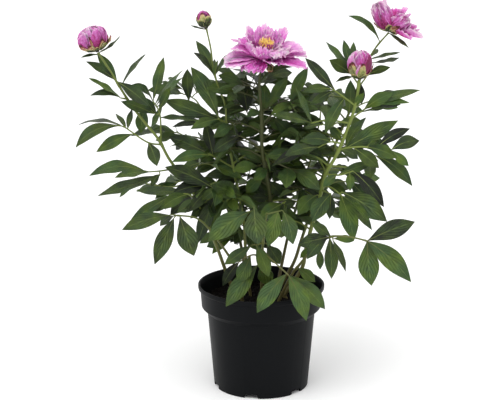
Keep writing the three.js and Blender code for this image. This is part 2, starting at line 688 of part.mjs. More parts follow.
// One petal: its rib leaves the seat at the elevation rise and bends to the elevation end. It is
// widest past its middle, cupped across, and its outer edge is notched and waved.
function petal(frame, heading, rise, end, length, width, cup, seed, rootRadius, rootHeight) {
  const steps = PETAL_WIDTHS.length - 1;
  const rib = [new THREE.Vector2(rootRadius, rootHeight)];
  const slopes = [rise];
  for (let i = 1; i <= RIB_STEPS; i += 1) {
    const slope = THREE.MathUtils.lerp(rise, end, i / RIB_STEPS);
    slopes.push(slope);
    rib.push(rib[i - 1].clone().add(
      new THREE.Vector2(Math.cos(slope), Math.sin(slope)).multiplyScalar(length / RIB_STEPS),
    ));
  }
  const outward = new THREE.Vector3(Math.cos(heading), Math.sin(heading), 0);
  const across = new THREE.Vector3(Math.sin(heading), -Math.cos(heading), 0);
  const upper = [];
  const lower = [];
  for (let r = 0; r <= steps; r += 1) {
    const half = 0.5 * width * PETAL_WIDTHS[r];
    const row = [-1, 0, 1].map((u, c) => {
      const notch = 0.1 * draw(seed, c) + 0.2 * u * u;
      const along = Math.round(RIB_STEPS * (r / steps) * (1 - (notch * r) / steps));
      const point = outward.clone().multiplyScalar(rib[along].x)
        .addScaledVector(UP, rib[along].y)
        .addScaledVector(across, half * u);
      const out = new THREE.Vector3(0, 0, Math.cos(slopes[along]))
        .addScaledVector(outward, -Math.sin(slopes[along]));
      const wave = 0.12 * half * (draw(seed, c + 10 * r) - 0.5);
      return { point: point.addScaledVector(out, cup * half * u * u + wave), out };
    });
    const face = (side) => row.map(({ point, out }) => point.clone()
      .addScaledVector(out, (side * PETAL_THICKNESS) / 2).applyMatrix4(frame));
    upper.push(face(1));
    lower.push(face(-1));
  }
  return plate(lower, upper);
}

// A round disc about a bloom's axis, between two heights over its seat.
function puck(frame, radius, bottom, top, sides) {
  const geometry = new THREE.CylinderGeometry(radius, radius, top - bottom, sides);
  geometry.rotateX(Math.PI / 2);
  geometry.translate(0, 0, (bottom + top) / 2);
  geometry.applyMatrix4(frame);
  return solidOf(geometry);
}

// The whorls of the open bloom, outside first: [count, rise, end, length, width, cup, height of
// the roots]. In each, every other petal stands WHORL_STEP higher and WHORL_LIFT steeper.
const OPEN_WHORLS = [
  [8, 20, 4, 70, 58, 0.16, 1.6],
  [6, 44, 28, 52, 46, 0.24, 4],
  [5, 64, 62, 38, 30, 0.35, 6.4],
];
const WHORL_STEP = 1.6;
const WHORL_LIFT = 12;
const SEAT_RADIUS = 13;
const SEAT_HEIGHT = 8.6;

// The open bloom's petals on the flat seat that carries them. Those behind stand steeper.
function openBloomPetals(frame) {
  const solids = [puck(frame, SEAT_RADIUS, 0.6, SEAT_HEIGHT, 12)];
  let seed = 1;
  OPEN_WHORLS.forEach(([count, rise, end, length, width, cup, height], whorl) => {
    for (let i = 0; i < count; i += 1) {
      const heading = ((i + 0.5 * whorl + 0.25 * draw(seed, 1)) / count) * 2 * Math.PI;
      const behind = Math.max(0, Math.sin(heading));
      const lift = THREE.MathUtils.degToRad(12 * behind + (i % 2) * WHORL_LIFT);
      const size = 0.9 + 0.18 * draw(seed, 2);
      solids.push(petal(frame, heading, THREE.MathUtils.degToRad(rise) + lift,
        THREE.MathUtils.degToRad(end) + lift, length * size, width * size, cup, seed,
        SEAT_RADIUS - 3, height + WHORL_STEP * (i % 2)));
      seed += 1;
    }
  });
  return joined(solids);
}

// The stamens: a tuft of short threads round the pistils, each with its anther on top.
function stamenTuft(frame) {
  const solids = [puck(frame, 6, SEAT_HEIGHT + 0.3, 13, 8)];
  const count = 16;
  const goldenAngle = Math.PI * (3 - Math.sqrt(5));
  for (let i = 0; i < count; i += 1) {
    const radius = 8.5 * Math.sqrt((i + 0.5) / count);
    const heading = i * goldenAngle;
    const outward = new THREE.Vector3(Math.cos(heading), Math.sin(heading), 0);
    const foot = outward.clone().multiplyScalar(0.5 * radius).setZ(11);
    const head = outward.clone().multiplyScalar(1.2 * radius).setZ(26 + 4 * draw(i, 3));
    solids.push(stalk([foot, head].map((point) => point.applyMatrix4(frame)), 0.9, 1.6, 3));
  }
  return joined(solids);
}

const OPEN_CUP_DEPTH = 6;

// The green cup under the open bloom, with sepals and narrow bracts that hang below the petals.
function openCalyx(frame) {
  const solids = [puck(frame, 7, -OPEN_CUP_DEPTH, 0.3, 12)];
  const count = 5;
  for (let i = 0; i < count; i += 1) {
    const heading = ((i + 0.3) / count) * 2 * Math.PI;
    const drop = THREE.MathUtils.degToRad(-38);
    solids.push(petal(frame, heading, drop, drop, 22, 17, 0.1, 40 + i, 4, -2.6));
  }
  return joined(solids);
}

// The middle of a ball of petals above its seat, which leaves room for the sepals under it.
function ballMiddle(size) {
  return (SEPAL_INNER + 0.015) * size.z + 1.5;
}

// A ball of overlapping petals, in an outer and an inner tier. Each petal stands proud along one
// edge and tucks under its neighbour at the other, and the tiers end in rounded tips.
function petalBall(frame, size, petals, outerTip, innerTip) {
  const middle = ballMiddle(size);
  const shares = [0, 0.34, 0.67, 0.97];
  const tucked = (share) => 0.09 * (1 - share);
  const rounded = (share) => 4 * (share - 0.5) ** 2;
  const columns = [];
  for (let petal = 0; petal < petals; petal += 1) {
    for (const share of shares) {
      const longitude = (2 * Math.PI * (petal + share)) / petals;
      const inner = (share + 0.5) % 1;
      const outerEnd = outerTip - 22 * rounded(share);
      const innerEnd = innerTip - 12 * rounded(inner);
      const at = (latitude, radius) => {
        const angle = THREE.MathUtils.degToRad(latitude);
        return new THREE.Vector3(
          radius * size.x * Math.cos(angle) * Math.cos(longitude),
          radius * size.y * Math.cos(angle) * Math.sin(longitude),
          middle + radius * size.z * Math.sin(angle),
        );
      };
      columns.push([
        new THREE.Vector3(4 * Math.cos(longitude), 4 * Math.sin(longitude), NECK_FOOT),
        at(-60, 0.98), at(-22, 1 + tucked(share)), at(0.4 * outerEnd + 4, 1.03 + tucked(share)),
        at(outerEnd, 1.02 + tucked(share)), at(outerEnd + 1, 0.86 + tucked(inner)),
        at(innerEnd, 0.84 + tucked(inner)), at(innerEnd + 1, 0.74),
      ].map((point) => point.applyMatrix4(frame)));
    }
  }
  const rows = columns[0].length;
  const points = columns.flat();
  const foot = points.push(new THREE.Vector3(0, 0, NECK_FOOT).applyMatrix4(frame)) - 1;
  const crown = new THREE.Vector3(0, 0, middle + 0.76 * size.z).applyMatrix4(frame);
  const head = points.push(crown) - 1;
  const faces = [];
  columns.forEach((column, c) => {
    const here = c * rows;
    const next = ((c + 1) % columns.length) * rows;
    for (let r = 0; r < rows - 1; r += 1) {
      faces.push([here + r, next + r, next + r + 1]);
      faces.push([here + r, next + r + 1, here + r + 1]);
    }
    faces.push([foot, next, here]);
    faces.push([head, here + rows - 1, next + rows - 1]);
  });
  return solidOf(geometryOf(points, faces));
}

// A patch of a ball's surface between the latitudes bottom and top, which widens and narrows on
// the way up by the shares in widths. Its two faces are the ball made larger by inner and outer.
function ballShell(frame, size, heading, bottom, top, spread, widths, inner, outer) {
  const end = widths.length - 1;
  const face = (larger, share, climb) => [-1, 0, 1].map((u) => {
    const rounded = climb * (1 - 0.12 * u * u * climb);
    const latitude = THREE.MathUtils.degToRad(bottom + (top - bottom) * rounded);
    const longitude = heading - THREE.MathUtils.degToRad(spread) * share * u;
    return new THREE.Vector3(
      larger * size.x * Math.cos(latitude) * Math.cos(longitude),
      larger * size.y * Math.cos(latitude) * Math.sin(longitude),
      ballMiddle(size) + larger * size.z * Math.sin(latitude),
    ).applyMatrix4(frame);
  });
  const upper = widths.map((share, r) => face(outer + 0.05 * (r / end), share, r / end));
  const lower = widths.map((share, r) => face(inner, share, r / end));
  return plate(upper, lower);
}

// Sepals that hug a ball of petals from below, on a small green cup.
function hugCalyx(frame, size, count, top, spread) {
  const solids = [puck(frame, 3.8, -CUP_DEPTH, CUP_TOP, 8)];
  for (let i = 0; i < count; i += 1) {
    const heading = ((i + 0.5) / count) * 2 * Math.PI;
    const inner = SEPAL_INNER + 0.02 * (i % 2);
    solids.push(ballShell(frame, size, heading, -84, top + 14 * (i % 2), spread,
      [0.9, 1, 1, 0.5], inner, inner + SEPAL_THICKNESS / size.x));
  }
  return joined(solids);
}

const plant = new THREE.Group();

function add(name, solid, colour, roughness) {
  const mesh = solid.getMesh();
  const geometry = new THREE.BufferGeometry();
  geometry.setAttribute("position", new THREE.Float32BufferAttribute(mesh.vertProperties, 3));
  geometry.setIndex([...mesh.triVerts]);
  const material = new THREE.MeshStandardMaterial({ color: colour, roughness, metalness: 0 });
  const piece = new THREE.Mesh(geometry, material);
  piece.name = name;
  plant.add(piece);
}

add("pot", potSolid(), POT_BLACK, 0.45);
add("soil", soilSolid(), SOIL_BROWN, 0.95);
for (const stem of stems) {
  add(stem.name, stem.solid(), LEAF_GREEN, 0.5);
}

// A bloom's seat over the top of its stem: its green cup, which reaches down by depth, clears the
// stem's end by SEAT_GAP, also where the stem's end and the bloom's axis lean apart.
function seatOn(stem, tilt, heading, depth) {
  const frame = bloomFrame(stem.top, tilt, heading);
  const leanApart = UP.clone().transformDirection(frame).angleTo(stem.topDirection);
  const rise = depth + SEAT_GAP + stem.topRadius * Math.sin(leanApart);
  return bloomFrame(new THREE.Vector3(0, 0, rise).applyMatrix4(frame), tilt, heading);
}

const TOWARDS_EYE = -Math.PI / 2;
const openTilt = THREE.MathUtils.degToRad(10);
const openFrame = seatOn(openBloomStem, openTilt, TOWARDS_EYE, OPEN_CUP_DEPTH);
add("open_bloom_petals", openBloomPetals(openFrame), PETAL_PINK, 0.6);
add("open_bloom_stamens", stamenTuft(openFrame), STAMEN_YELLOW, 0.7);
add("open_bloom_calyx", openCalyx(openFrame), SEPAL_GREEN, 0.6);

// The half open and closed buds: [name, stem, tilt, heading, size, petals a tier, tips of the
// tiers, loose petals, sepals]. A loose petal is [heading, rise, end, length, width].
const UPPER_LOOSE = [
  [-10, 34, 4, 44, 36], [-62, 42, 20, 38, 34], [38, 48, 20, 40, 34], [100, 58, 34, 38, 32],
  [165, 60, 48, 34, 32], [-125, 58, 40, 34, 32],
];
const buds = [
  ["upper_bloom", upperBloomStem, 40, 8, [21, 20, 25], 5, [50, 70], UPPER_LOOSE, [4, -28, 34]],
  ["left_bud", leftBudStem, 22, 180, [22.5, 22, 22], 4, [50, 72], [], [5, 6, 32]],
  ["right_bud", rightBudStem, 3, 0, [18.5, 18.5, 20], 4, [54, 74], [], [5, 2, 32]],
  ["small_bud", smallBudStem, 10, 180, [12, 12, 11.5], 3, [60, 76], [], [4, 12, 42]],
];
buds.forEach(([name, stem, tilt, heading, size, petals, tips, loose, [sepals, top, spread]], i) => {
  const radii = new THREE.Vector3(...size);
  const [lean, towards] = [tilt, heading].map(THREE.MathUtils.degToRad);
  const frame = seatOn(stem, lean, towards, CUP_DEPTH);
  const solids = [petalBall(frame, radii, petals, ...tips)];
  loose.forEach(([turn, up, end, length, width], j) => {
    const [way, climb, finish] = [turn, up, end].map(THREE.MathUtils.degToRad);
    solids.push(petal(frame, way, climb, finish, length, width, 0.2, 80 + 10 * i + j, 15, 30));
  });
  add(`${name}_petals`, joined(solids), BUD_PINK, 0.6);
  add(`${name}_calyx`, hugCalyx(frame, radii, sepals, top, spread), SEPAL_GREEN, 0.6);
});

export default plant;
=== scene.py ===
import bpy
import numpy as np
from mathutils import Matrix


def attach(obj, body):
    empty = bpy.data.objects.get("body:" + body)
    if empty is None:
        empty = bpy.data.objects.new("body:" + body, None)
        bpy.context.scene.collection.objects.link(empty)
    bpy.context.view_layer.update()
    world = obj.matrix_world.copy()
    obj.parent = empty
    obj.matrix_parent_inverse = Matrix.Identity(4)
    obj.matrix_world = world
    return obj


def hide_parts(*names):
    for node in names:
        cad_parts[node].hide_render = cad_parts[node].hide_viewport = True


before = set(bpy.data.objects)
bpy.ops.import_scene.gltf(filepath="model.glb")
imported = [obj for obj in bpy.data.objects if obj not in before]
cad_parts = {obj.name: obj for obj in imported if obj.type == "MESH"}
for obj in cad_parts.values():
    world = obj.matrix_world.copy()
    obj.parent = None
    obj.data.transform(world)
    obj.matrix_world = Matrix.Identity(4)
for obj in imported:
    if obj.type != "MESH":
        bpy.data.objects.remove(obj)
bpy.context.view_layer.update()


# Camera
# It stands 2.4 m in front of the pot, a little above the highest bud, and looks down on the plant
# by 13.8 degrees. The same eye places every leaf and bloom, so the camera and the plant agree.
EYE = np.array([-0.020, -2.400, 0.929])
EYE_PITCH = np.radians(13.8)
EYE_SCALE = 1406
VIEW_SIZE = (500, 400)
SENSOR = 36

camera_data = bpy.data.cameras.new("front_view")
camera_data.sensor_width = SENSOR
camera_data.lens = EYE_SCALE * SENSOR / VIEW_SIZE[0]
camera = bpy.data.objects.new("front_view", camera_data)
camera.location = EYE
camera.rotation_euler = (np.pi / 2 - EYE_PITCH, 0, 0)
bpy.context.scene.collection.objects.link(camera)
bpy.context.scene.camera = camera


# Floor and lights
# A plain white studio floor under broad even light: a key from the upper left of the front, a
# weaker fill from the right, and a white surround. Their light is even, so the floor stays white.
FLOOR_SIZE = 60
SURROUND_STRENGTH = 1.05
STUDIO = [
    # name, compass turn from the front to the left, height in degrees, strength, breadth in degrees
    ("key_light", 32, 58, 1.25, 50),
    ("fill_light", -50, 40, 0.2, 60),
]


def linear(colour):
    """An sRGB hex colour as linear red, green, blue and alpha: each channel c of 0 to 1 becomes
    c / 12.92 up to 0.04045, and ((c + 0.055) / 1.055) to the power 2.4 above that."""
    channels = np.array([int(colour[i:i + 2], 16) for i in (1, 3, 5)]) / 255
    curved = ((channels + 0.055) / 1.055) ** 2.4
    return (*np.where(channels <= 0.04045, channels / 12.92, curved), 1.0)


def fill(node, inputs):
    """Sets a node's inputs to values, and links those that are given the output of another."""
    for key, value in inputs.items():
        if isinstance(value, bpy.types.NodeSocket):
            node.id_data.links.new(value, node.inputs[key])
        else:
            node.inputs[key].default_value = value


def add_node(finish, kind, inputs=None, output=0, **settings):
    """Adds a shader node to a finish, with its settings and inputs, and hands back one of its
    outputs. A Mix of colours takes a share in input 0 and two colours in 6 and 7, and gives the
    mixture in output 2. A MapRange takes the span that it reads in 1 and 2, and the one that it
    gives in 3 and 4, each from 0 to 1 where nothing else is said."""
    node = finish.node_tree.nodes.new("ShaderNode" + kind)
    for name, value in settings.items():
        setattr(node, name, value)
    fill(node, inputs or {})
    return node.outputs[output]


def new_finish(name):
    """A material with an empty node tree that ends in a Principled shader, and that shader."""
    finish = bpy.data.materials.new(name)
    finish.use_nodes = True
    shader = finish.node_tree.nodes["Principled BSDF"]
    return finish, shader


floor_paint, floor_shader = new_finish("matt_white_studio_floor")
fill(floor_shader, {"Base Color": linear("#f7f7f7"), "Roughness": 0.9})
floor_mesh = bpy.data.meshes.new("floor")
reach = FLOOR_SIZE / 2
floor_mesh.from_pydata(
    [(-reach, -reach, 0), (reach, -reach, 0), (reach, reach, 0), (-reach, reach, 0)],
    [], [(0, 1, 2, 3)],
)
floor_mesh.materials.append(floor_paint)
floor = bpy.data.objects.new("floor", floor_mesh)
bpy.context.scene.collection.objects.link(floor)

for name, turn, height, strength, breadth in STUDIO:
    lamp = bpy.data.lights.new(name, "SUN")
    lamp.energy = strength
    lamp.angle = np.radians(breadth)
    light = bpy.data.objects.new(name, lamp)
    light.rotation_euler = np.radians((90 - height, 0, -turn))
    bpy.context.scene.collection.objects.link(light)

surround = bpy.data.worlds.new("white_surround")
surround.use_nodes = True
fill(surround.node_tree.nodes["Background"], {
    "Color": linear("#ffffff"), "Strength": SURROUND_STRENGTH,
})
bpy.context.scene.world = surround
bpy.context.scene.view_settings.view_transform = "Standard"


# Stem of the left bud
# The longest stem leans out to the left under the weight of its bud. It is smooth, and browner
# near the soil. Its leaves part in threes and threes again on long stalks, and have a waxy
# cuticle, dark and glossy above, and matt and paler below.

# Pairs of side veins, and how far along the leaf one climbs on its way to the margin
SIDE_VEINS = 6
VEIN_CLIMB = 0.55
# The sizes of the leaf's patterns in mm. These and the ones below are given one by one, and each
# is written as a length over the number of them that fill it. The cells of a cuticle are about
# 0.05 mm wide, too fine to show, and are drawn 1.1 mm wide.
LEAF_MOTTLE = 100 / 6
LEAF_TINT_AND_SHEEN_PATCH = 500 / 17
LEAF_CELL = 10 / 9
# How far the mottle and the swell between two veins lift a leaf from its dark to its lighter
# green, and what is taken off again, which is their mean. The swell's lift leaves the sunken veins
# darker: painted shade in their grooves.
MOTTLE_LIFT = 0.9
GROOVE_PAINTED_SHADE = 0.11
MEAN_LIFT = 0.52
RIB_PALENESS = 0.2
BACK_PALENESS = 0.8

# A leaf's cuticle of wax shows as a dim sheen on dark green, with a paler rib and sunken veins.
# The veins are also painted darker, as painted shade in their grooves, and bluish green spots of
# painted sheen lie among yellow green ones of the leaf's own mottle.
leaf_finish, leaf_shader = new_finish("peony_leaf_waxy")
leaf_place = add_node(leaf_finish, "TexCoord", output="Object")
leaf_tone = add_node(leaf_finish, "Attribute", output="Fac", attribute_name="tone")
leaf_back = add_node(leaf_finish, "Attribute", output="Fac", attribute_name="back")
blade_place = add_node(leaf_finish, "UVMap", uv_map="blade")
blade_across = add_node(leaf_finish, "SeparateXYZ", {0: blade_place}, output="X")
blade_along = blade_across.node.outputs["Y"]
off_rib = add_node(leaf_finish, "Math", {0: blade_across}, operation="ABSOLUTE")
rib_line = add_node(
    leaf_finish, "MapRange", {0: off_rib, 1: 0.02, 2: 0.11, 3: 1, 4: 0},
    interpolation_type="SMOOTHSTEP",
)
climb = add_node(
    leaf_finish, "Math", {0: off_rib, 1: -VEIN_CLIMB, 2: blade_along}, operation="MULTIPLY_ADD",
)
vein_count = add_node(leaf_finish, "Math", {0: climb, 1: SIDE_VEINS}, operation="MULTIPLY")
to_vein = add_node(leaf_finish, "Math", {0: vein_count, 1: 0.5}, operation="PINGPONG")
swell = add_node(
    leaf_finish, "MapRange", {0: to_vein, 2: 0.16}, interpolation_type="SMOOTHSTEP",
)
mottle = add_node(
    leaf_finish, "TexNoise", {"Vector": leaf_place, "Scale": 1000 / LEAF_MOTTLE, "Detail": 3},
)
mottled_tone = add_node(
    leaf_finish, "Math", {0: mottle, 1: MOTTLE_LIFT, 2: leaf_tone}, operation="MULTIPLY_ADD",
)
groove_shaded_tone = add_node(
    leaf_finish, "Math", {0: swell, 1: GROOVE_PAINTED_SHADE, 2: mottled_tone}, operation="MULTIPLY_ADD",
)
bright_share = add_node(
    leaf_finish, "Math", {0: groove_shaded_tone, 1: MEAN_LIFT}, operation="SUBTRACT",
)
# Spots that run from yellow green, the leaf's own mottle, to bluish green, a painted sheen of the
# white surround
tint_and_sheen_patches = add_node(
    leaf_finish, "TexNoise", {"Vector": leaf_place, "Scale": 1000 / LEAF_TINT_AND_SHEEN_PATCH, "Detail": 2},
)
tint_and_sheen_share = add_node(leaf_finish, "MapRange", {0: tint_and_sheen_patches, 1: 0.38, 2: 0.62})
bright_green_and_sheen = add_node(
    leaf_finish, "Mix", {0: tint_and_sheen_share, 6: linear("#415e2d"), 7: linear("#566e20")},
    output=2, data_type="RGBA",
)
leaf_green = add_node(
    leaf_finish, "Mix", {0: bright_share, 6: linear("#11190a"), 7: bright_green_and_sheen},
    output=2, data_type="RGBA",
)
rib_share = add_node(leaf_finish, "Math", {0: rib_line, 1: RIB_PALENESS}, operation="MULTIPLY")
ribbed_green = add_node(
    leaf_finish, "Mix", {0: rib_share, 6: leaf_green, 7: linear("#7c9148")},
    output=2, data_type="RGBA",
)
back_share = add_node(leaf_finish, "Math", {0: leaf_back, 1: BACK_PALENESS}, operation="MULTIPLY")
leaf_colour = add_node(
    leaf_finish, "Mix", {0: back_share, 6: ribbed_green, 7: linear("#506634")},
    output=2, data_type="RGBA",
)
leaf_gloss = add_node(leaf_finish, "MapRange", {0: leaf_back, 3: 0.4, 4: 0.62})
leaf_cells = add_node(
    leaf_finish, "TexNoise", {"Vector": leaf_place, "Scale": 1000 / LEAF_CELL, "Detail": 2},
)
leaf_relief = add_node(leaf_finish, "Math", {0: swell, 1: leaf_cells}, operation="ADD")
leaf_bump = add_node(
    leaf_finish, "Bump", {"Strength": 0.9, "Distance": 0.0012, "Height": leaf_relief},
)
fill(leaf_shader, {
    "Base Color": leaf_colour, "Roughness": leaf_gloss, "Normal": leaf_bump, "IOR": 1.45,
    "Specular IOR Level": 0.38,
})

# A stem's smooth skin has a soft gloss. Fine streaks run along it, whose width and length are in
# mm. It is brown up to one height in metres, and green from another.
STREAK_WIDTH = 10 / 7
STREAK_LENGTH = 25
BROWN_UP_TO = 0.15
GREEN_FROM = 0.36

stem_finish, stem_shader = new_finish("peony_stem_smooth")
stem_place = add_node(stem_finish, "TexCoord", output="Object")
stem_tone = add_node(stem_finish, "Attribute", output="Fac", attribute_name="tone")
stem_height = add_node(stem_finish, "SeparateXYZ", {0: stem_place}, output="Z")
green_share = add_node(
    stem_finish, "MapRange", {0: stem_height, 1: BROWN_UP_TO, 2: GREEN_FROM},
    interpolation_type="SMOOTHSTEP",
)
stem_green = add_node(
    stem_finish, "Mix", {0: stem_tone, 6: linear("#33351d"), 7: linear("#707e3b")},
    output=2, data_type="RGBA",
)
stem_colour = add_node(
    stem_finish, "Mix", {0: green_share, 6: linear("#5c5533"), 7: stem_green},
    output=2, data_type="RGBA",
)
streak_place = add_node(stem_finish, "Mapping", {
    "Vector": stem_place,
    "Scale": (1000 / STREAK_WIDTH, 1000 / STREAK_WIDTH, 1000 / STREAK_LENGTH),
})
streaks = add_node(stem_finish, "TexNoise", {"Vector": streak_place, "Scale": 1, "Detail": 3})
stem_bump = add_node(
    stem_finish, "Bump", {"Strength": 0.35, "Distance": 0.0004, "Height": streaks},
)
fill(stem_shader, {
    "Base Color": stem_colour, "Normal": stem_bump, "Roughness": 0.42, "IOR": 1.45,
    "Specular IOR Level": 0.3,
})

# Rows along and columns across a blade that the photo shows, and one in the middle of the plant
NEAR_GRID = (17, 9)
INNER_GRID = (9, 5)
BLADE_THICKNESS = 0.0005
SOIL_TOP = 0.157
# The least width of a leaflet that the photo shows, as a share of its length. Then the length of
# one that it doesn't show, and the width of that as a share.
LEAST_LEAFLET_WIDTH = 0.27
FAR_LEAFLET_LENGTH = 0.068
FAR_LEAFLET_WIDTH = 0.38
# Where a far leaf parts: the turn of each part and the spread of its leaflets in degrees, and its
# run in metres. Then the three leaflets of a part: their share of the spread, and their length.
LEAF_PARTS = [(-62, 46, 0.018), (62, 46, 0.018), (0, 52, 0.030)]
PART_LEAFLETS = [(-1, 0.82), (1, 0.82), (0, 1.0)]
UP = np.array([0.0, 0.0, 1.0])


def unit(vectors):
    """Vectors divided by their lengths."""
    return vectors / np.linalg.norm(vectors, axis=-1, keepdims=True)


def seen(places):
    """Points in metres of places (px, py, depth in mm) in the front view: the line of sight
    through px and py, followed until it is that depth behind the pot's axis."""
    places = np.asarray(places, float)
    right = (places[..., 0] - VIEW_SIZE[0] / 2) / EYE_SCALE
    up = (VIEW_SIZE[1] / 2 - places[..., 1]) / EYE_SCALE
    line = np.stack([
        right,
        np.cos(EYE_PITCH) + up * np.sin(EYE_PITCH),
        up * np.cos(EYE_PITCH) - np.sin(EYE_PITCH),
    ], axis=-1)
    reached = (places[..., 2] / 1000 - EYE[1]) / line[..., 1]
    return EYE + line * reached[..., None]


def smooth(points, steps):
    """A Catmull-Rom curve through points, cut into steps of even length. Between two points b
    and c, with neighbours a and d, it is half of 2b + (c-a)t + (2a-5b+4c-d)tt + (3b-a-3c+d)ttt,
    worked out 24 times."""
    p = np.asarray(points, float)
    p = np.vstack([2 * p[0] - p[1], p, 2 * p[-1] - p[-2]])
    a, b, c, d = (p[i:len(p) - 3 + i, None] for i in range(4))
    t = np.linspace(0, 1, 24, endpoint=False)[None, :, None]
    curve = (2 * b + (c - a) * t + (2 * a - 5 * b + 4 * c - d) * t ** 2
             + (3 * b - a - 3 * c + d) * t ** 3) / 2
    curve = np.vstack([curve.reshape(-1, 3), p[-2]])
    run = np.concatenate([[0], np.cumsum(np.linalg.norm(np.diff(curve, axis=0), axis=1))])
    even = np.linspace(0, run[-1], steps + 1)
    return np.column_stack([np.interp(even, run, curve[:, axis]) for axis in range(3)])


def nearest(route, px, py):
    """The place of a route that is nearest to (px, py) in the front view."""
    return route[np.argmin(np.hypot(route[:, 0] - px, route[:, 1] - py))]


def plate(upper, lower):
    """A closed thin plate between two grids of points: a quad for each cell of both grids, and a
    rim between their borders. Row direction x column direction points out of the upper grid."""
    rows, columns = upper.shape[:2]
    number = np.arange(rows * columns).reshape(rows, columns)
    over = np.stack([
        number[:-1, :-1], number[1:, :-1], number[1:, 1:], number[:-1, 1:],
    ], axis=-1).reshape(-1, 4)
    border = np.concatenate([
        number[0, :-1], number[:-1, -1], number[-1, :0:-1], number[:0:-1, 0],
    ])
    after = np.roll(border, -1)
    rim = np.stack([border, after, after + number.size, border + number.size], axis=-1)
    points = np.concatenate([upper.reshape(-1, 3), lower.reshape(-1, 3)])
    return points, np.concatenate([over, over[:, ::-1] + number.size, rim])


def ringed(rings, foot, head):
    """A closed body of rings of points: quads from ring to ring, and a fan of triangles from the
    first ring to the point foot and from the last to the point head. A triangle is written as a
    quad with its last corner twice."""
    sides = rings.shape[1]
    number = np.arange(len(rings) * sides).reshape(-1, sides)
    after = np.roll(number, -1, axis=1)
    wall = np.stack([number[:-1], after[:-1], after[1:], number[1:]], axis=-1).reshape(-1, 4)
    low = np.full(sides, number.size)
    ends = np.concatenate([
        np.stack([low, after[0], number[0], number[0]], axis=-1),
        np.stack([low + 1, number[-1], after[-1], after[-1]], axis=-1),
    ])
    return np.vstack([rings.reshape(-1, 3), foot, head]), np.vstack([wall, ends])


def tube(path, radii, sides):
    """A round stalk: about each point of a path a ring of its radius, square to the path."""
    along = unit(np.gradient(path, axis=0))
    least = np.eye(3)[np.argmin(np.abs(along).max(axis=0))]
    side = unit(np.cross(least, along))
    over = np.cross(along, side)
    turn = np.linspace(0, 2 * np.pi, sides, endpoint=False)[None, :, None]
    radii = np.broadcast_to(radii, len(path))[:, None, None]
    rings = path[:, None] + radii * (np.cos(turn) * side[:, None] + np.sin(turn) * over[:, None])
    return ringed(rings, path[0], path[-1])


class Growth:
    """One piece of the plant while it grows: points, faces, and what its finishes read at each
    point, which is a place on the blade (across, along), a tone, and whether it is the back."""

    def __init__(self):
        self.points, self.faces, self.finish = [], [], []
        self.place, self.tone, self.back = [], [], []
        self.count = 0

    def add(self, points, faces, place, tone, back, finish):
        """Adds points and faces, with what a finish reads and the number of that finish."""
        self.points.append(points)
        self.faces.append(faces + self.count)
        self.place.append(place)
        self.tone.append(np.broadcast_to(tone, len(points)))
        self.back.append(back)
        self.finish.append(np.full(len(faces), finish))
        self.count += len(points)

    def body(self, points, faces, tone=0, finish=0):
        """Adds a closed body that has no blade."""
        self.add(points, faces, np.zeros((len(points), 2)), tone, np.zeros(len(points)), finish)

    def stalk(self, path, radii, sides, tone, finish=1):
        """Adds a round stalk along a path."""
        self.body(*tube(path, radii, sides), tone, finish)

    def blade(self, upper, lower, across, along, tone, finish=0):
        """Adds a plate between an upper and a lower grid of points. The lower one is its back."""
        points, faces = plate(upper, lower)
        place = np.stack([across.ravel(), along.ravel()], axis=-1)
        tone = np.tile(np.broadcast_to(tone, across.shape).ravel(), 2)
        back = np.repeat([0.0, 1.0], across.size)
        self.add(points, faces, np.vstack([place, place]), tone, back, finish)

    def piece(self, name, node, slot, finishes, sharp_above=50):
        """Makes the mesh object, and lets it ride and replace its node. Its slot is not used."""
        faces = np.concatenate(self.faces)
        mesh = bpy.data.meshes.new(name)
        corners = [f[:3] if f[2] == f[3] else f for f in faces.tolist()]
        mesh.from_pydata(np.concatenate(self.points).tolist(), [], corners)
        corner_point = np.empty(len(mesh.loops), np.int32)
        mesh.loops.foreach_get("vertex_index", corner_point)
        layer = mesh.uv_layers.new(name="blade")
        layer.data.foreach_set("uv", np.concatenate(self.place)[corner_point].ravel())
        for label, values in (("tone", self.tone), ("back", self.back)):
            attribute = mesh.attributes.new(label, "FLOAT", "POINT")
            attribute.data.foreach_set("value", np.concatenate(values).astype(np.float32))
        for finish in finishes:
            mesh.materials.append(finish)
        mesh.polygons.foreach_set("material_index", np.concatenate(self.finish).astype(np.int32))
        mesh.polygons.foreach_set("use_smooth", np.ones(len(corners), bool))
        mesh.set_sharp_from_angle(angle=np.radians(sharp_above))
        mesh.validate()
        grown = bpy.data.objects.new(name, mesh)
        bpy.context.scene.collection.objects.link(grown)
        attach(grown, "root")
        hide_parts(node)
        return grown


def face_of(base, tip, shown_width, width):
    """The direction out of a leaflet's upper face: the blade is rolled about its rib until the
    eye sees shown_width of its width, and of the four ways the best lit one is taken."""
    axis = unit(tip - base)
    sight = unit(base - EYE)
    light = UP - 0.6 * sight
    flat = unit(np.cross(axis, sight))
    edge_on = np.cross(axis, flat)
    roll = np.arccos(min(1, shown_width / width))
    turns = np.array([roll, -roll, np.pi - roll, np.pi + roll])[:, None]
    faces = np.cross(axis, flat * np.cos(turns) + edge_on * np.sin(turns))
    return faces[np.argmax(faces @ light)]


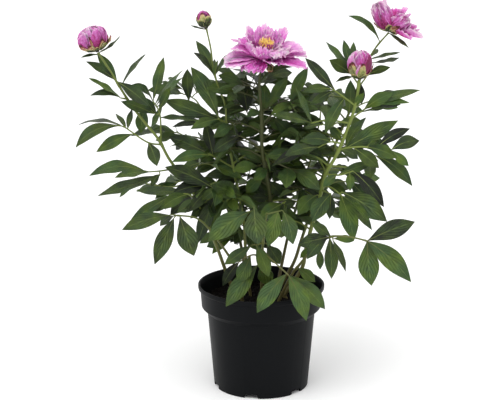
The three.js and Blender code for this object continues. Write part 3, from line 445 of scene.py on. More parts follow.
def leaflet(base, tip, face, width, grid, arch, belly, fold, sway, twist, wave, phase):
    """The two faces of one leaflet. Along it, from v = 0 to 1, the half width follows the sine of
    pi times v to the power belly, so a higher belly puts its widest place nearer the tip. The rib
    rises by arch and bends aside by sway, each times 4 v (1 - v) of its length. Across it, from
    u = -1 to 1, both halves fold up from the rib by fold, the margins wave, and the blade turns
    by twist from foot to tip."""
    v = np.linspace(0, 1, grid[0])[:, None, None]
    u = np.linspace(-1, 1, grid[1])[None, :, None]
    length = np.linalg.norm(tip - base)
    axis = (tip - base) / length
    across = unit(np.cross(face, axis))
    face = np.cross(axis, across)
    turn = twist * (v - 0.35)
    side = across * np.cos(turn) + face * np.sin(turn)
    out = face * np.cos(turn) - across * np.sin(turn)
    bow = 4 * v * (1 - v)
    upward = UP - axis * axis[2]
    half = width / 2 * (0.98 * np.abs(np.sin(np.pi * v ** belly)) + 0.02)
    rib = base + axis * length * v + (upward * arch + across * sway) * length * bow
    rise = fold * half * np.abs(u) ** 1.25
    rise = rise + wave * half * u ** 2 * np.sin(2 * np.pi * (2.3 * v + phase + 0.2 * np.sign(u)))
    upper = rib + side * half * u + out * rise
    lower = upper - out * BLADE_THICKNESS
    places = np.broadcast_arrays(u[..., 0], v[..., 0])
    return upper, lower, places[0], places[1], rib[:, 0] - face * BLADE_THICKNESS


def compass(heading, climb):
    """A direction of length 1 in a heading in degrees from +X, which climbs by climb per step."""
    turn = np.radians(heading)
    return unit(np.array([np.cos(turn), np.sin(turn), climb]))


class LeafyStem:
    """A stem with its leaves. foot is its place on the soil in mm, places are those (px, py,
    depth) that it passes on its way up, and its radii at the foot and the top are in mm. From 0
    to 1, tone makes the stem a paler green, and a share of painted light makes its leaves paler
    too, where they stand in the light."""

    # Radii from start to end of a leaf's stalk, of the stalks that it parts in, of a leaflet's own
    # stalk and of its rib
    STALK_RADII = (0.0017, 0.0012)
    FORK_RADII = (0.0011, 0.0011)
    STALKLET_RADII = (0.0011, 0.0009)
    RIB_RADII = (0.0009, 0.0003)
    # Heights over the soil of the peg that stands in a hole in it
    PEG_HEIGHTS = (-0.02, 0.0, 0.009)
    # How much a joint swells, and over what length
    JOINT_SWELL = 0.0005
    JOINT_LENGTH = 0.005
    # A base that lies nearer to the leaf's stalk sits on it, without a stalk of its own
    LEAST_STALKLET = 0.005
    # The tone of a leaf, its play by chance, and how much darker its foot is than its tip
    LEAF_TONE = 0.40
    TONE_PLAY = (-0.3, 0.36)
    FOOT_SHADE = 0.2

    def __init__(self, foot, places, foot_radius, top_radius, seed, tone=0.5, painted_light=0.0):
        self.growth = Growth()
        self.rng = np.random.default_rng(seed)
        self.tone = tone
        self.painted_light = painted_light
        self.route = smooth(places, 120)
        self.radii = (foot_radius / 1000, top_radius / 1000)
        peg = np.tile([foot[0] / 1000, foot[1] / 1000, SOIL_TOP], (3, 1))
        peg[:, 2] += self.PEG_HEIGHTS
        self.path = smooth(np.vstack([peg, seen(self.route[::10])]), 110)
        self.joints = []
        self.top = self.path[-1]
        self.top_direction = unit(self.path[-1] - self.path[-3])

    def stalk(self, start, end, bow, steps, radii, sides):
        """A stalk from start to end that bows upward by bow, with radii from start to end."""
        way = smooth([start, (start + end) / 2 + UP * bow, end], steps)
        self.growth.stalk(way, np.linspace(*radii, steps + 1), sides, self.tone)

    def leaf(self, places, blades):
        """One leaf: its stalk leaves the stem at its first place and passes the others. A blade
        is (base px, py, tip px, py, width shown, lean in mm, arch, light), lean being how far
        the tip lies behind the base, and light the painted light or painted shade of the blade.
        Arch and light may be left out."""
        start = nearest(self.route, *places[0][:2])
        self.joints.append(seen(start))
        route = self.route
        if len(places) > 1:
            route = smooth(np.vstack([start, places[1:]]), 24)
            radii = np.linspace(*self.STALK_RADII, len(route))
            self.growth.stalk(seen(route), radii, sides=7, tone=self.tone)
        for blade in blades:
            self.blade(route, *blade)
        return self

    def blade(self, route, base_px, base_py, tip_px, tip_py, shown, lean, arch=0.05, light=0.0):
        """One leaflet, on a short stalk of its own where its base lies off the leaf's stalk. Light
        is painted light that makes it paler than the others, or painted shade that makes it darker
        where it is below 0."""
        root = nearest(route, base_px, base_py)
        stalklet = np.hypot(root[0] - base_px, root[1] - base_py)
        reach = np.hypot(tip_px - base_px, tip_py - base_py)
        hub = seen(root)
        base = seen([base_px, base_py, root[2] + lean * stalklet / (stalklet + reach)])
        if np.linalg.norm(base - hub) < self.LEAST_STALKLET:
            base = hub
        tip = seen([tip_px, tip_py, root[2] + lean])
        shown_width = shown / EYE_SCALE * np.linalg.norm(base - EYE)
        width = max(shown_width, LEAST_LEAFLET_WIDTH * np.linalg.norm(tip - base))
        face = face_of(base, tip, shown_width, width)
        self.grow(hub, base, tip, face, width, arch, NEAR_GRID, light)

    def grow(self, hub, base, tip, face, width, arch, grid, light):
        """Grows one leaflet with its rib and its stalk, each a little different by chance. Its
        foot is darker than its tip by the cube of the way that is left."""
        draw = self.rng.uniform
        tone = np.clip(self.LEAF_TONE + self.painted_light + light + draw(*self.TONE_PLAY), 0, 1)
        upper, lower, across, along, rib = leaflet(
            base, tip, face, width, grid, arch, belly=draw(1.02, 1.3), fold=draw(0.08, 0.3),
            sway=draw(-0.035, 0.035), twist=draw(-0.3, 0.3), wave=draw(0.05, 0.14),
            phase=draw(0, 1),
        )
        self.growth.blade(upper, lower, across, along, tone - self.FOOT_SHADE * (1 - along) ** 3)
        rib_radii = np.linspace(*self.RIB_RADII, len(rib) - 1)
        self.growth.stalk(rib[:-1], rib_radii, sides=5, tone=self.tone)
        if np.linalg.norm(base - hub) > 0:
            self.stalk(hub, base, bow=0.001, steps=5, radii=self.STALKLET_RADII, sides=6)

    def far_leaf(self, share, heading, reach, size):
        """A twice-parted leaf: its stalk leaves the stem at a share of its height in a heading in
        degrees from +X, and ends reach mm out, where it parts in three that bear three leaflets
        each. Leaves high on the stem point up, and low ones hang."""
        start = seen(self.route[int(share * (len(self.route) - 1))])
        self.joints.append(start)
        reach = reach / 1000
        hub = start + compass(heading, 0.35) * reach
        self.stalk(start, hub, bow=0.08 * reach, steps=16, radii=self.STALK_RADII, sides=7)
        lift = 0.75 * share - 0.5
        for part, spread, run in LEAF_PARTS:
            fork = hub + compass(heading + part, lift + 0.15) * run * size
            self.stalk(hub, fork, bow=0.001, steps=6, radii=self.FORK_RADII, sides=6)
            for side, length in PART_LEAFLETS:
                turn = heading + part + side * spread
                direction = compass(turn, lift + self.rng.uniform(-0.3, 0.15))
                length = length * size * FAR_LEAFLET_LENGTH * self.rng.uniform(0.85, 1.1)
                face = 0.5 * UP + compass(self.rng.uniform(0, 360), 0)
                # A far leaf is painted a little darker than the others, as painted shade inside the
                # plant
                self.grow(fork, fork + direction * 0.004, fork + direction * length, face,
                          FAR_LEAFLET_WIDTH * length, 0.06, INNER_GRID, light=-0.02)

    def far_leaves(self, rows, size):
        """Several far leaves of one size, each a row of (share, heading, reach)."""
        for row in rows:
            self.far_leaf(*row, size)

    def piece(self, name, node):
        """Grows the stem itself, thicker at each leaf joint, and hands the whole over."""
        radii = np.linspace(*self.radii, len(self.path))
        for joint in self.joints:
            distance = np.linalg.norm(self.path - joint, axis=1)
            radii = radii + self.JOINT_SWELL * np.exp(-(distance / self.JOINT_LENGTH) ** 2)
        self.growth.stalk(self.path, radii, sides=12, tone=self.tone)
        return self.growth.piece(name, node, "foliage", [leaf_finish, stem_finish])


# Its leaves are painted a little paler than the others, as painted light on the outer left
left_bud_stem = LeafyStem((-49, 12), [
    (225, 269, 5), (214, 239, -5), (200, 205, -10), (186, 182, -12), (171.5, 163, -14),
    (157.6, 138, -16), (138.5, 115, -18), (124, 94, -20), (114, 77, -20), (98, 52.5, -22),
], 3.4, 1.9, seed=11, tone=0.75, painted_light=0.14)
left_bud_stem.leaf([(119, 85)], [
    (118, 83, 97, 53, 10.5, 25, -0.01, 0.45), (117, 80, 149, 106, 13, -30),
    (116, 82, 86, 61.5, 8, -20), (122, 84, 145.5, 54, 4, 30),
]).leaf([(128, 99), (121, 98, -30)], [
    (121, 98, 88.7, 78, 4.5, -15, 0.02), (121, 98, 90.3, 95.5, 6, -10, 0.16),
]).leaf([(132, 107), (147, 107, -10)], [
    (154, 114, 121, 101.5, 11, -28), (145, 107, 141, 133, 13, 12, 0.05, -0.1),
]).leaf([(161, 143), (160, 115, -8), (153, 101, -2)], [
    (152, 100, 131, 85, 6, -30, 0.16), (152, 100, 163.7, 57.3, 10, 15, 0.12, 0.25),
    (155, 104, 182.5, 70, 5, 25), (156, 106, 182.5, 77.4, 4, -15), (158, 110, 170.7, 86.7, 8, -25),
    (163, 104, 151, 128, 6, 15, 0.0), (157, 115, 143, 97, 9, -14, 0.0),
]).leaf([(162, 145), (147, 142, -32), (126, 128, -42)], [
    (126, 128, 78, 125, 3, 20, 0.12), (121, 126, 75.6, 147.6, 12, -30, 0.14, 0.22),
    (128, 128, 132, 109, 6, 25), (126, 127, 115.5, 113.5, 5, 30),
    (134, 134, 96.4, 152, 12, -35, 0.07), (148, 143, 157, 166, 13, -35),
]).leaf([(176, 168), (160, 171, -45), (147, 172, -55)], [
    (147.4, 171, 89.3, 175.7, 12, -15, 0.11, 0.25), (150, 174, 115, 177.5, 8, -45),
    (160, 175, 97.9, 195.8, 11, -50, 0.0, -0.35), (160, 174, 151, 187, 7, -35),
]).leaf([(187, 184), (170, 187, 12), (150, 184, 22)], [
    (136, 184, 119.3, 197.4, 5, 15), (160, 187, 136, 192, 6, 40), (170, 187, 155, 199, 7, 30),
    (190, 191, 136, 190, 9, 20, 0.0),
]).leaf([(205, 214), (190, 195, -45), (170, 196, -60)], [
    (188, 194, 160.5, 209.5, 13, -40), (168, 196, 130, 221, 11, -10, 0.03),
    (171, 204, 152, 211, 6, 10),
])
left_bud_stem.leaf([(98, 53)], [
    (98, 53, 120, 36, 2.6, 12, -0.1), (98, 54, 81, 57.5, 2.4, -6, 0.05),
])
left_bud_stem.far_leaves([
    (0.12, 60, 40), (0.22, 70, 45), (0.32, 110, 50), (0.41, 40, 50), (0.17, 20, 45), (0.28, 25, 50),
], 0.9)
left_bud_stem.piece("left_bud_leafy_stem", "stem_left_bud")


# Stem of the small bud
# A thin pale stem left of the middle. It carries one small hard bud high above its leaves, which
# are broad and stand half way up, painted dark, as painted shade, where the others shade them.
small_bud_stem = LeafyStem((-20, 14), [
    (246, 262, 0), (244, 225, -5), (240, 200, -6), (234, 170, 0), (229, 145, 5), (226, 122, 8),
    (225, 104, 8), (220, 91, 5), (214.4, 75.5, 0), (211, 50, -5), (206.5, 29, -5),
], 2.8, 1.3, seed=12, tone=0.7)
small_bud_stem.leaf([(214.4, 76)], [
    (214, 75, 196, 40.7, 10, 25, 0.05, 0.24), (214, 76, 193.7, 52.6, 6, -25),
    (215, 75, 236, 49, 5, 20), (221, 94, 225, 77, 7, 35), (214.5, 75, 214.5, 59, 4.5, 30),
    (215, 76, 218, 60, 4, -25),
]).leaf([(226, 122), (206, 112, 22), (189, 102, 28)], [
    (189, 102, 187.3, 69, 12, 20, 0.05, 0.08),
]).leaf([(226, 127), (219, 119, -8)], [
    (219, 119, 191, 67, 17, 20), (219, 120, 164, 100, 16, -10, -0.03, -0.3),
    (218, 120, 190.8, 129, 10, -25), (204, 121, 160, 117.5, 5, -20, 0.02),
    (202, 124, 172, 127, 6, 10),
]).leaf([(233, 168), (213, 156, -20)], [
    (209, 154, 169, 137, 14, 30, 0.05, 0.1), (209, 155, 172, 162, 11, -40),
    (213, 155, 205.5, 123, 12, 25, 0.05, -0.3),
]).leaf([(235, 178)], [
    (230, 176, 237, 142, 11, 40),
]).leaf([(242, 212), (229, 194, -20), (213, 188, -32)], [
    (212, 186, 165, 167, 17, -5, 0.05, -0.4), (213, 190, 189, 212, 13, -18),
    (219, 192, 198, 243, 14, -15), (224, 204, 211, 229, 8, -10),
]).leaf([(240, 198)], [
    (242, 197, 211, 185, 18, -75),
])
small_bud_stem.leaf([(206, 29.5)], [
    (206, 29.5, 190.5, 25, 1.6, 5, -0.05),
])
small_bud_stem.far_leaves([
    (0.08, 100, 35), (0.18, 60, 40), (0.26, 120, 45), (0.32, 200, 30), (0.38, 60, 50),
    (0.46, 140, 45), (0.54, 75, 45), (0.22, 160, 45), (0.35, 95, 60), (0.42, 30, 50),
], 0.9)
small_bud_stem.piece("small_bud_leafy_stem", "stem_small_bud")


# Stem of the open bloom
# It stands upright in the middle and carries the heaviest flower. It is painted dark, as painted
# shade, for it stands in the shade of its own leaves and of all the others.
open_bloom_stem = LeafyStem((8, 12), [
    (268, 262, 12), (270, 200, 10), (266, 172, 5), (262, 149, 0), (261.9, 124, 0), (260.4, 100, 0),
    (259.5, 78, -4), (263, 63.5, -6),
], 3.6, 2.2, seed=13, tone=0.1)
open_bloom_stem.leaf([(260, 82)], [
    (262, 83, 292, 67, 6, -25, 0.14), (262, 86, 277, 79, 3, 20),
]).leaf([(260.6, 113)], [
    (260, 113, 246.3, 116.8, 8, -45), (268, 110, 288, 77, 12, 25), (264, 112, 265, 84, 14, 30),
]).leaf([(260.6, 114), (247, 113, 22)], [
    (246, 112, 240, 80, 18, 25),
]).leaf([(262, 124), (276, 111, 5), (290, 103, 8)], [
    (290, 103, 308, 67, 12, 12, 0.05, 0.28), (294, 103, 271, 114, 8, -40),
    (292, 108, 304, 111, 5, -30),
]).leaf([(262, 149), (250, 141, -12), (240, 136, -14)], [
    (240, 136, 213, 152, 13, -35), (240, 136, 216, 133, 7, 30),
]).leaf([(265, 165)], [
    (258, 166, 233, 170, 12, -50), (267, 168, 254, 180, 12, -50),
]).leaf([(264, 160), (276, 163, -18), (288, 168, -28)], [
    (286, 168, 286, 188, 18, -55), (292, 170, 320, 190, 16, -45),
]).leaf([(262, 128), (270, 120, 14)], [
    (272, 117, 292, 138, 12, 20), (275, 125, 282, 116, 7, 30), (268, 122, 281, 131, 6, 20),
]).leaf([(263, 138), (276, 134, 16)], [
    (281, 133, 273, 163, 9, 20),
]).leaf([(264, 160)], [
    (262, 163, 235, 150, 9, 18), (266, 164, 245, 156, 6, -20),
]).leaf([(268, 182)], [
    (263, 178, 246, 193, 13, 10), (267, 180, 282, 195, 12, 10), (268, 198, 252, 198, 9, -20),
    (270, 196, 262, 176, 9, 25),
]).leaf([(270, 200)], [
    (279, 203, 265, 216, 10, -30), (296, 202, 281, 208, 10, -20),
])
open_bloom_stem.far_leaves([
    (0.12, 130, 35), (0.19, 50, 40), (0.26, 100, 45), (0.32, 30, 45), (0.38, 150, 45),
    (0.44, 85, 45), (0.5, 20, 45), (0.55, 135, 45), (0.6, 60, 45), (0.65, 165, 40), (0.7, 100, 40),
    (0.75, 35, 40), (0.8, 140, 35), (0.85, 100, 30), (0.86, 140, 15), (0.29, 165, 45),
    (0.35, 65, 55), (0.41, 110, 60), (0.47, 45, 55), (0.53, 175, 50), (0.58, 95, 60),
    (0.68, 50, 50), (0.73, 130, 45),
], 0.9)
open_bloom_stem.piece("open_bloom_leafy_stem", "stem_open_bloom")


# Stem of the right bud
# The stoutest and leafiest stem. It is painted a pale yellow-green, as painted light where the
# light reaches it, and its leaves a little paler too. It leans to the right, and lifts a bud that
# is about to open.
right_bud_stem = LeafyStem((44, 8), [
    (302, 268, 2), (307.7, 241, -4), (320.6, 194.6, -12), (325, 175.5, -16), (337.5, 153, -20),
    (347.4, 129, -20), (355.7, 104.6, -20), (358, 89, -20), (359.2, 79.5, -20),
], 3.8, 2.3, seed=14, tone=1.0, painted_light=0.06)
right_bud_stem.leaf([(358.6, 84), (351, 74, 0)], [
    (350, 72, 326, 41.7, 7, 35), (351, 68, 343.7, 39.8, 8, 25), (350, 73, 329.5, 60, 13, -15),
    (353, 66, 353.7, 42, 7, 25), (352, 77, 335.7, 82, 4, -20),
]).leaf([(358, 88), (367, 76, 0)], [
    (367, 75, 390.4, 67.3, 8, -20),
]).leaf([(359, 82)], [
    (360, 79, 361.5, 104, 10, 12, 0.0, -0.15), (348, 118, 350.5, 80, 12, 35, 0.05, -0.25),
    (353, 107, 364, 93, 7, -12, 0.12, 0.3),
]).leaf([(355.5, 106), (345, 98, -32), (334, 90, -40)], [
    (344, 98, 325, 134, 12, -35, 0.05, -0.2), (336, 92, 305.3, 58, 11, 10, -0.02),
    (333, 88, 303, 92, 9, -30), (334, 91, 310, 105, 8, -15),
]).leaf([(352, 118), (362, 111, -5), (372, 104, 0)], [
    (363, 110, 393, 93, 13, -5, 0.08, 0.5), (372, 104, 420, 90, 9, -5, 0.05, 0.5),
    (372, 104, 409.6, 102.7, 8, -20, 0.05, 0.3), (361, 112, 400.7, 104.5, 5, -10, 0.02),
]).leaf([(349.5, 124), (328, 120, -32), (312, 123, -40)], [
    (326, 120, 326, 104, 13, 45), (312, 123, 296, 88, 6, -20), (312, 122, 272, 115, 9, -35),
]).leaf([(341, 144), (330, 142, -32), (319, 147, -42)], [
    (331, 141, 300, 141, 13, -40, 0.05, -0.1), (319, 147, 285, 155.5, 12, -65, 0.05, -0.35),
    (319, 149, 272, 166, 11, -25, 0.05, -0.35),
]).leaf([(339.5, 150), (350, 147.5, -32), (366, 147, -38), (391, 150, -42)], [
    (352, 147, 379, 168, 14, -10), (368, 147, 397, 158, 13, -35, 0.05, 0.32),
    (377, 147, 410, 128.6, 11, 20, 0.05, -0.2), (390, 150, 419.5, 140.7, 14, 15, 0.1, -0.5),
    (346, 148, 398, 120.6, 17, 10, -0.02, 0.3), (346, 148, 366, 117.4, 10, 50),
    (366, 146, 383, 134, 8, 30), (390, 150, 408.7, 166, 9, 5, 0.05, 0.32),
]).leaf([(331.5, 166), (355, 167, 4), (378, 160, 6)], [
    (371, 163, 370.5, 179, 12, -45), (374, 155, 412.3, 186, 13, -20, 0.1),
]).leaf([(326, 174), (340, 175, -30), (353, 171, -40)], [
    (353, 171, 384, 207, 15, -25, 0.05, -0.35), (350, 172, 350, 191, 9, -35),
    (338, 176, 372, 163, 10, 10, 0.05, -0.2), (337, 176, 323, 187, 9, -35),
]).leaf([(322.5, 186), (332, 188, -32), (341, 195, -50)], [
    (340, 195, 353.8, 241, 18, -15, 0.05, 0.3), (342, 192, 387, 221.5, 21, -30),
    (342, 196, 369, 221, 6, -55), (343, 200, 372, 230, 10, 10),
]).leaf([(321, 192)], [
    (317, 195, 297.6, 215, 15, -50),
]).leaf([(339.5, 150)], [
    (341, 150, 358, 159, 10, 30), (343, 142, 329, 127, 9, 30),
]).leaf([(321, 190), (331, 194, -44)], [
    (331, 194, 312, 222, 17, -45), (332, 196, 329.6, 219, 10, 10),
])
right_bud_stem.far_leaves([
    (0.24, 60, 45), (0.34, 120, 50), (0.44, 75, 50), (0.54, 140, 50), (0.62, 100, 45),
    (0.7, 120, 40), (0.2, 160, 45), (0.3, 165, 50), (0.5, 110, 55),
], 0.9)
right_bud_stem.piece("right_bud_leafy_stem", "stem_right_bud")


# Stem of the upper bloom
# It rises behind the right bud's stem, thins out and tops the plant. Its lower leaves reach
# through the others from behind, and small ones stand below the bloom.
# Its leaves are painted a little paler, as painted light
upper_bloom_stem = LeafyStem((34, 38), [
    (294, 262, 42), (303, 235, 46), (318, 190, 50), (333, 150, 50), (350, 110, 46), (362, 75, 40),
    (370.5, 56.6, 34), (380.4, 40.6, 30), (388.8, 32.5, 30),
], 3.4, 1.3, seed=15, tone=0.6, painted_light=0.1)
upper_bloom_stem.leaf([(370.5, 57)], [
    (369.5, 57, 378, 49, 5, 30), (371, 60, 400, 52.4, 3, -15, -0.02),
    (372, 62.5, 399.6, 57.5, 4, 25, -0.03),
]).leaf([(379, 42.5)], [
    (378, 41, 348, 15.7, 6, -15, 0.15),
]).leaf([(388, 33)], [
    (391, 34, 408.8, 47.8, 4, -15, 0.0),
]).leaf([(350, 110), (362, 104, 80), (374, 100, 95)], [
    (374, 101, 396, 91, 8, 42), (371, 101, 398, 108, 12, 14),
]).leaf([(333, 150), (318, 144, 80), (306, 142, 95)], [
    (306, 142, 280, 130, 12, 40), (308, 142, 292, 160, 13, 20), (309, 142.5, 308, 118, 12, 38),
]).leaf([(318, 190), (336, 182, 80), (352, 182, 95)], [
    (352, 182, 380, 178, 12, 40), (351, 183, 368, 202, 14, -10),
]).leaf([(305, 228), (288, 218, 70)], [
    (288, 218, 266, 206, 13, 40), (288, 218, 278, 236, 14, 10),
])
upper_bloom_stem.far_leaves([
    (0.2, 170, 40), (0.28, 90, 45), (0.36, 190, 45), (0.44, 140, 45), (0.52, 180, 50),
    (0.6, 120, 40), (0.68, 170, 35),
], 0.9)
upper_bloom_stem.piece("upper_bloom_leafy_stem", "stem_upper_bloom")


# Low leafy stems
# Short stems without a flower at the left, the front and the right. Their large leaves hang over
# the rim of the pot and catch the most light, which is painted into the front and right ones as a
# paler green.
low_left_stem = LeafyStem((-34, -26), [
    (241, 276, -38), (229, 256, -58), (210, 230, -80), (196, 218, -90), (177, 215.5, -96),
], 3.2, 1.4, seed=16, tone=0.4)
low_left_stem.leaf([(178, 215.5)], [
    (170, 215, 122, 230, 15, -30, 0.04), (174, 218, 154.6, 264.4, 17, -15, -0.03, -0.3),
    (180, 216, 194, 255.8, 21, -25, 0.05, -0.42), (174, 216, 160, 226, 8, 30),
])
low_left_stem.piece("low_left_leafy_stem", "stem_low_left")

low_front_stem = LeafyStem((0, -30), [
    (262, 276, -48), (262, 256, -66), (264, 234, -84), (267, 213, -92),
], 3.4, 1.4, seed=17, tone=0.5, painted_light=0.16)
low_front_stem.leaf([(265, 225), (256, 212, -100), (247, 212, -104)], [
    (249, 210, 207.6, 241.3, 22, -25, 0.05, -0.2), (254, 207, 258, 244.4, 23, -45, 0.05, -0.2),
]).leaf([(267, 214), (280, 211, -98)], [
    (278, 211, 268, 246.6, 17, -35), (283, 211, 293, 244.4, 16, -40),
]).leaf([(263, 243), (256, 245, -84)], [
    (252, 245, 224.5, 264.5, 12, -25), (256, 246, 268.8, 277, 14, -30),
]).leaf([(263, 242)], [
    (267, 244, 280, 264, 15, 30),
]).leaf([(262, 257), (252, 255, -76), (239, 262, -66)], [
    (251.5, 256, 238.4, 283.2, 15, -10), (238.4, 262.7, 222.8, 285.9, 11, 10, 0.05, -0.2),
]).leaf([(262, 262)], [
    (258.5, 264, 225.9, 306.4, 18, -50, 0.05, -0.1), (264, 263, 267, 285, 16, 15),
]).leaf([(263, 250), (272, 260, -110), (288.4, 275, -138)], [
    (286, 276, 257, 312.7, 18, 6, 0.05, 0.2), (288.4, 275, 306.3, 320.7, 18, 10, 0.05, 0.2),
    (288.4, 275, 325, 309, 17, 36, 0.05, 0.2),
])
low_front_stem.piece("low_front_leafy_stem", "stem_low_front")

low_right_stem = LeafyStem((32, -30), [
    (292, 274, -48), (300, 264, -62), (314, 248, -82), (330, 237, -96), (350, 237, -104),
    (367, 241, -108),
], 3.2, 1.4, seed=18, tone=0.5, painted_light=0.2)
low_right_stem.leaf([(366, 241)], [
    (367.5, 241, 414.8, 221.8, 19, -10, 0.06, -0.37), (367.5, 241, 371.5, 285.7, 21, -15, -0.03),
    (367.5, 241, 411, 282, 20, -30, 0.06, -0.26),
]).leaf([(331, 237)], [
    (330, 236, 298, 245, 15, -35, 0.05, -0.5), (331, 235, 312, 223, 10, -20, 0.05, -0.2),
    (328, 238, 307, 259, 12, -45, 0.05, -0.45), (330, 238, 331.5, 278.8, 14, -25),
    (333, 240, 345.7, 271.5, 7, -40), (333, 239, 354, 241, 8, 10),
]).leaf([(316, 247)], [
    (319, 248, 320, 269.6, 8, 20), (314, 248, 300, 258, 7, 25),
]).leaf([(297, 268)], [
    (296, 267, 315, 282, 11, -25),
])
low_right_stem.piece("low_right_leafy_stem", "stem_low_right")


# Far stems
# Two leafy stems without a flower on the far side, which the photo doesn't show. They round the
# plant out behind, each with four large leaves and four smaller ones.
FAR_STEMS = [
    # name, node, foot, places, large leaves (share, heading, reach), small leaves
    ("back_left_leafy_stem", "stem_back_left", (-24, 48), [
        (240, 240, 95), (226, 190, 140), (210, 140, 168), (200, 106, 178),
    ], [(0.3, 175, 62), (0.52, 88, 64), (0.75, 200, 56), (1, 120, 34)],
     [(0.2, 40, 40), (0.4, 20, 45), (0.62, 30, 45), (0.88, 300, 35)]),
    ("back_right_leafy_stem", "stem_back_right", (30, 52), [
        (287, 240, 98), (300, 194, 145), (312, 155, 170), (320, 120, 180),
    ], [(0.3, 5, 62), (0.52, 92, 64), (0.75, -20, 56), (1, 85, 34)],
     [(0.2, 140, 40), (0.4, 160, 45), (0.62, 150, 45), (0.88, 240, 35)]),
]
for seed, (name, node, foot, places, large, small) in enumerate(FAR_STEMS, start=21):
    far_stem = LeafyStem(foot, places, 3.4, 1.4, seed=seed, tone=0.4)
    far_stem.far_leaves(large, 1.0)
    far_stem.far_leaves(small, 0.8)
    far_stem.piece(name, node)


# Open bloom
# A semi-double flower of broad ruffled guard petals round a bowl of smaller ones, all fixed to the
# flat top of the stem. Petals are thin and soft: lilac pink with a paler margin and a deeper
# foot, marked with fine lines from foot to edge. Light passes a few millimetres into them.

# Lines on each half of a petal, which makes them 2 to 4 mm wide, and its crumples' size in mm
PETAL_LINES = 7
PETAL_CRUMPLE = 100 / 24
# How far a petal's shade rises from foot to edge and by its own tone, and falls in its crumples
SHADE_ALONG = 0.6
SHADE_OF_TONE = 0.45
CRUMPLE_DEPTH = 0.75
MARGIN_FROM = 0.82


def petal_finish_of(name, shades, start, margin_shift, line_depth, back_depth):
    """A petal's finish: dim and soft, and lit from inside, as light passes a few millimetres into
    it. Its shade runs from 0 to 1 through the given (position, colour) pairs. It is start, plus
    SHADE_ALONG of the way along the petal, SHADE_OF_TONE of its own tone and margin_shift at its
    margin, less line_depth on the fine lines that run along it, CRUMPLE_DEPTH on its crumples
    and back_depth on its back."""
    finish, shader = new_finish(name)
    grown_place = add_node(finish, "TexCoord", output="Object")
    tone = add_node(finish, "Attribute", output="Fac", attribute_name="tone")
    back = add_node(finish, "Attribute", output="Fac", attribute_name="back")
    blade_place = add_node(finish, "UVMap", uv_map="blade")
    across = add_node(finish, "SeparateXYZ", {0: blade_place}, output="X")
    along = across.node.outputs["Y"]
    line_place = add_node(
        finish, "Mapping", {"Vector": blade_place, "Scale": (PETAL_LINES, 1, 1)},
    )
    lines = add_node(
        finish, "TexNoise", {"Vector": line_place, "Scale": 1, "Detail": 6, "Roughness": 0.75},
    )
    crumple = add_node(finish, "TexNoise", {
        "Vector": grown_place, "Scale": 1000 / PETAL_CRUMPLE, "Detail": 3, "Roughness": 0.6,
    })
    off_middle = add_node(finish, "Math", {0: across}, operation="ABSOLUTE")
    to_edge = add_node(finish, "Math", {0: off_middle, 1: along}, operation="MAXIMUM")
    margin = add_node(
        finish, "MapRange", {0: to_edge, 1: MARGIN_FROM}, interpolation_type="SMOOTHSTEP",
    )
    shade = start
    for share, part in (
        (SHADE_ALONG, along), (SHADE_OF_TONE, tone), (-back_depth, back), (-line_depth, lines),
        (-CRUMPLE_DEPTH, crumple), (margin_shift, margin),
    ):
        shade = add_node(
            finish, "Math", {0: part, 1: share, 2: shade}, operation="MULTIPLY_ADD",
        )
    colour = add_node(finish, "ValToRGB", {0: shade})
    stops = colour.node.color_ramp.elements
    for position, _ in shades[1:-1]:
        stops.new(position)
    for stop, (position, shade_colour) in zip(stops, shades):
        stop.position = position
        stop.color = linear(shade_colour)
    relief = add_node(finish, "Math", {0: crumple, 1: 1.5, 2: lines}, operation="MULTIPLY_ADD")
    bump = add_node(finish, "Bump", {"Strength": 0.6, "Distance": 0.001, "Height": relief})
    fill(shader, {
        "Base Color": colour, "Normal": bump, "Roughness": 0.6, "Specular IOR Level": 0.3,
        "Subsurface Weight": 0.75, "Subsurface Radius": (1.0, 0.5, 0.8),
        "Subsurface Scale": 0.004,
    })
    return finish


# Open petals are silky and pale, and those of a bud deeper and more boldly lined. Sepals are
# leathery: green, then cream, then red-brown at the edge.
open_petal = petal_finish_of("peony_petal_lilac_pink", [
    (0.0, "#98206f"), (0.25, "#b8479c"), (0.5, "#cb74b8"), (0.75, "#d799c8"), (1.0, "#e3bcd1"),
], start=0.72, margin_shift=0.16, line_depth=0.83, back_depth=0.1)
bud_petal = petal_finish_of("peony_petal_bud_pink", [
    (0.0, "#6d1743"), (0.25, "#a03274"), (0.5, "#b958a0"), (0.75, "#cb80b7"), (1.0, "#dfafca"),
], start=0.84, margin_shift=0.28, line_depth=1.3, back_depth=0.0)
sepal_finish = petal_finish_of("peony_sepal_leathery", [
    (0.0, "#232a14"), (0.25, "#4e5a2b"), (0.5, "#96975a"), (0.7, "#bfa97c"), (0.85, "#8f4d42"),
    (1.0, "#4a1f20"),
], start=0.74, margin_shift=0.4, line_depth=1.1, back_depth=0.1)

# Rows along and columns across a petal, and the steps in which its rib is worked out
PETAL_GRID = (21, 41)
RIB_STEPS = 60
PETAL_THICKNESS = 0.0006
# How far the waves of a petal shift its tone: painted light on their crests, painted shade in their
# troughs
RUFFLE_SHADE = 0.5
SEAT_GAP = 0.0004


def bloom_frame(seat, tilt, heading):
    """A bloom's own axes, as rows, and its seat: +Z leans by tilt degrees towards heading."""
    lean, turn = np.radians(tilt), np.radians(heading)
    pole = np.array([-np.sin(turn), np.cos(turn), 0])
    cross = np.array([[0, -pole[2], pole[1]], [pole[2], 0, -pole[0]], [-pole[1], pole[0], 0]])
    spin = np.eye(3) + np.sin(lean) * cross + (1 - np.cos(lean)) * cross @ cross
    return spin.T, seat


def seat_on(stem, tilt, heading, depth):
    """The frame of a bloom whose green cup reaches down by depth and clears the stem's end."""
    axes, top = bloom_frame(stem.top, tilt, heading)
    lean_apart = np.arccos(np.clip(axes[2] @ stem.top_direction, -1, 1))
    rise = depth + SEAT_GAP + stem.radii[1] * np.sin(lean_apart)
    return axes, top + axes[2] * rise


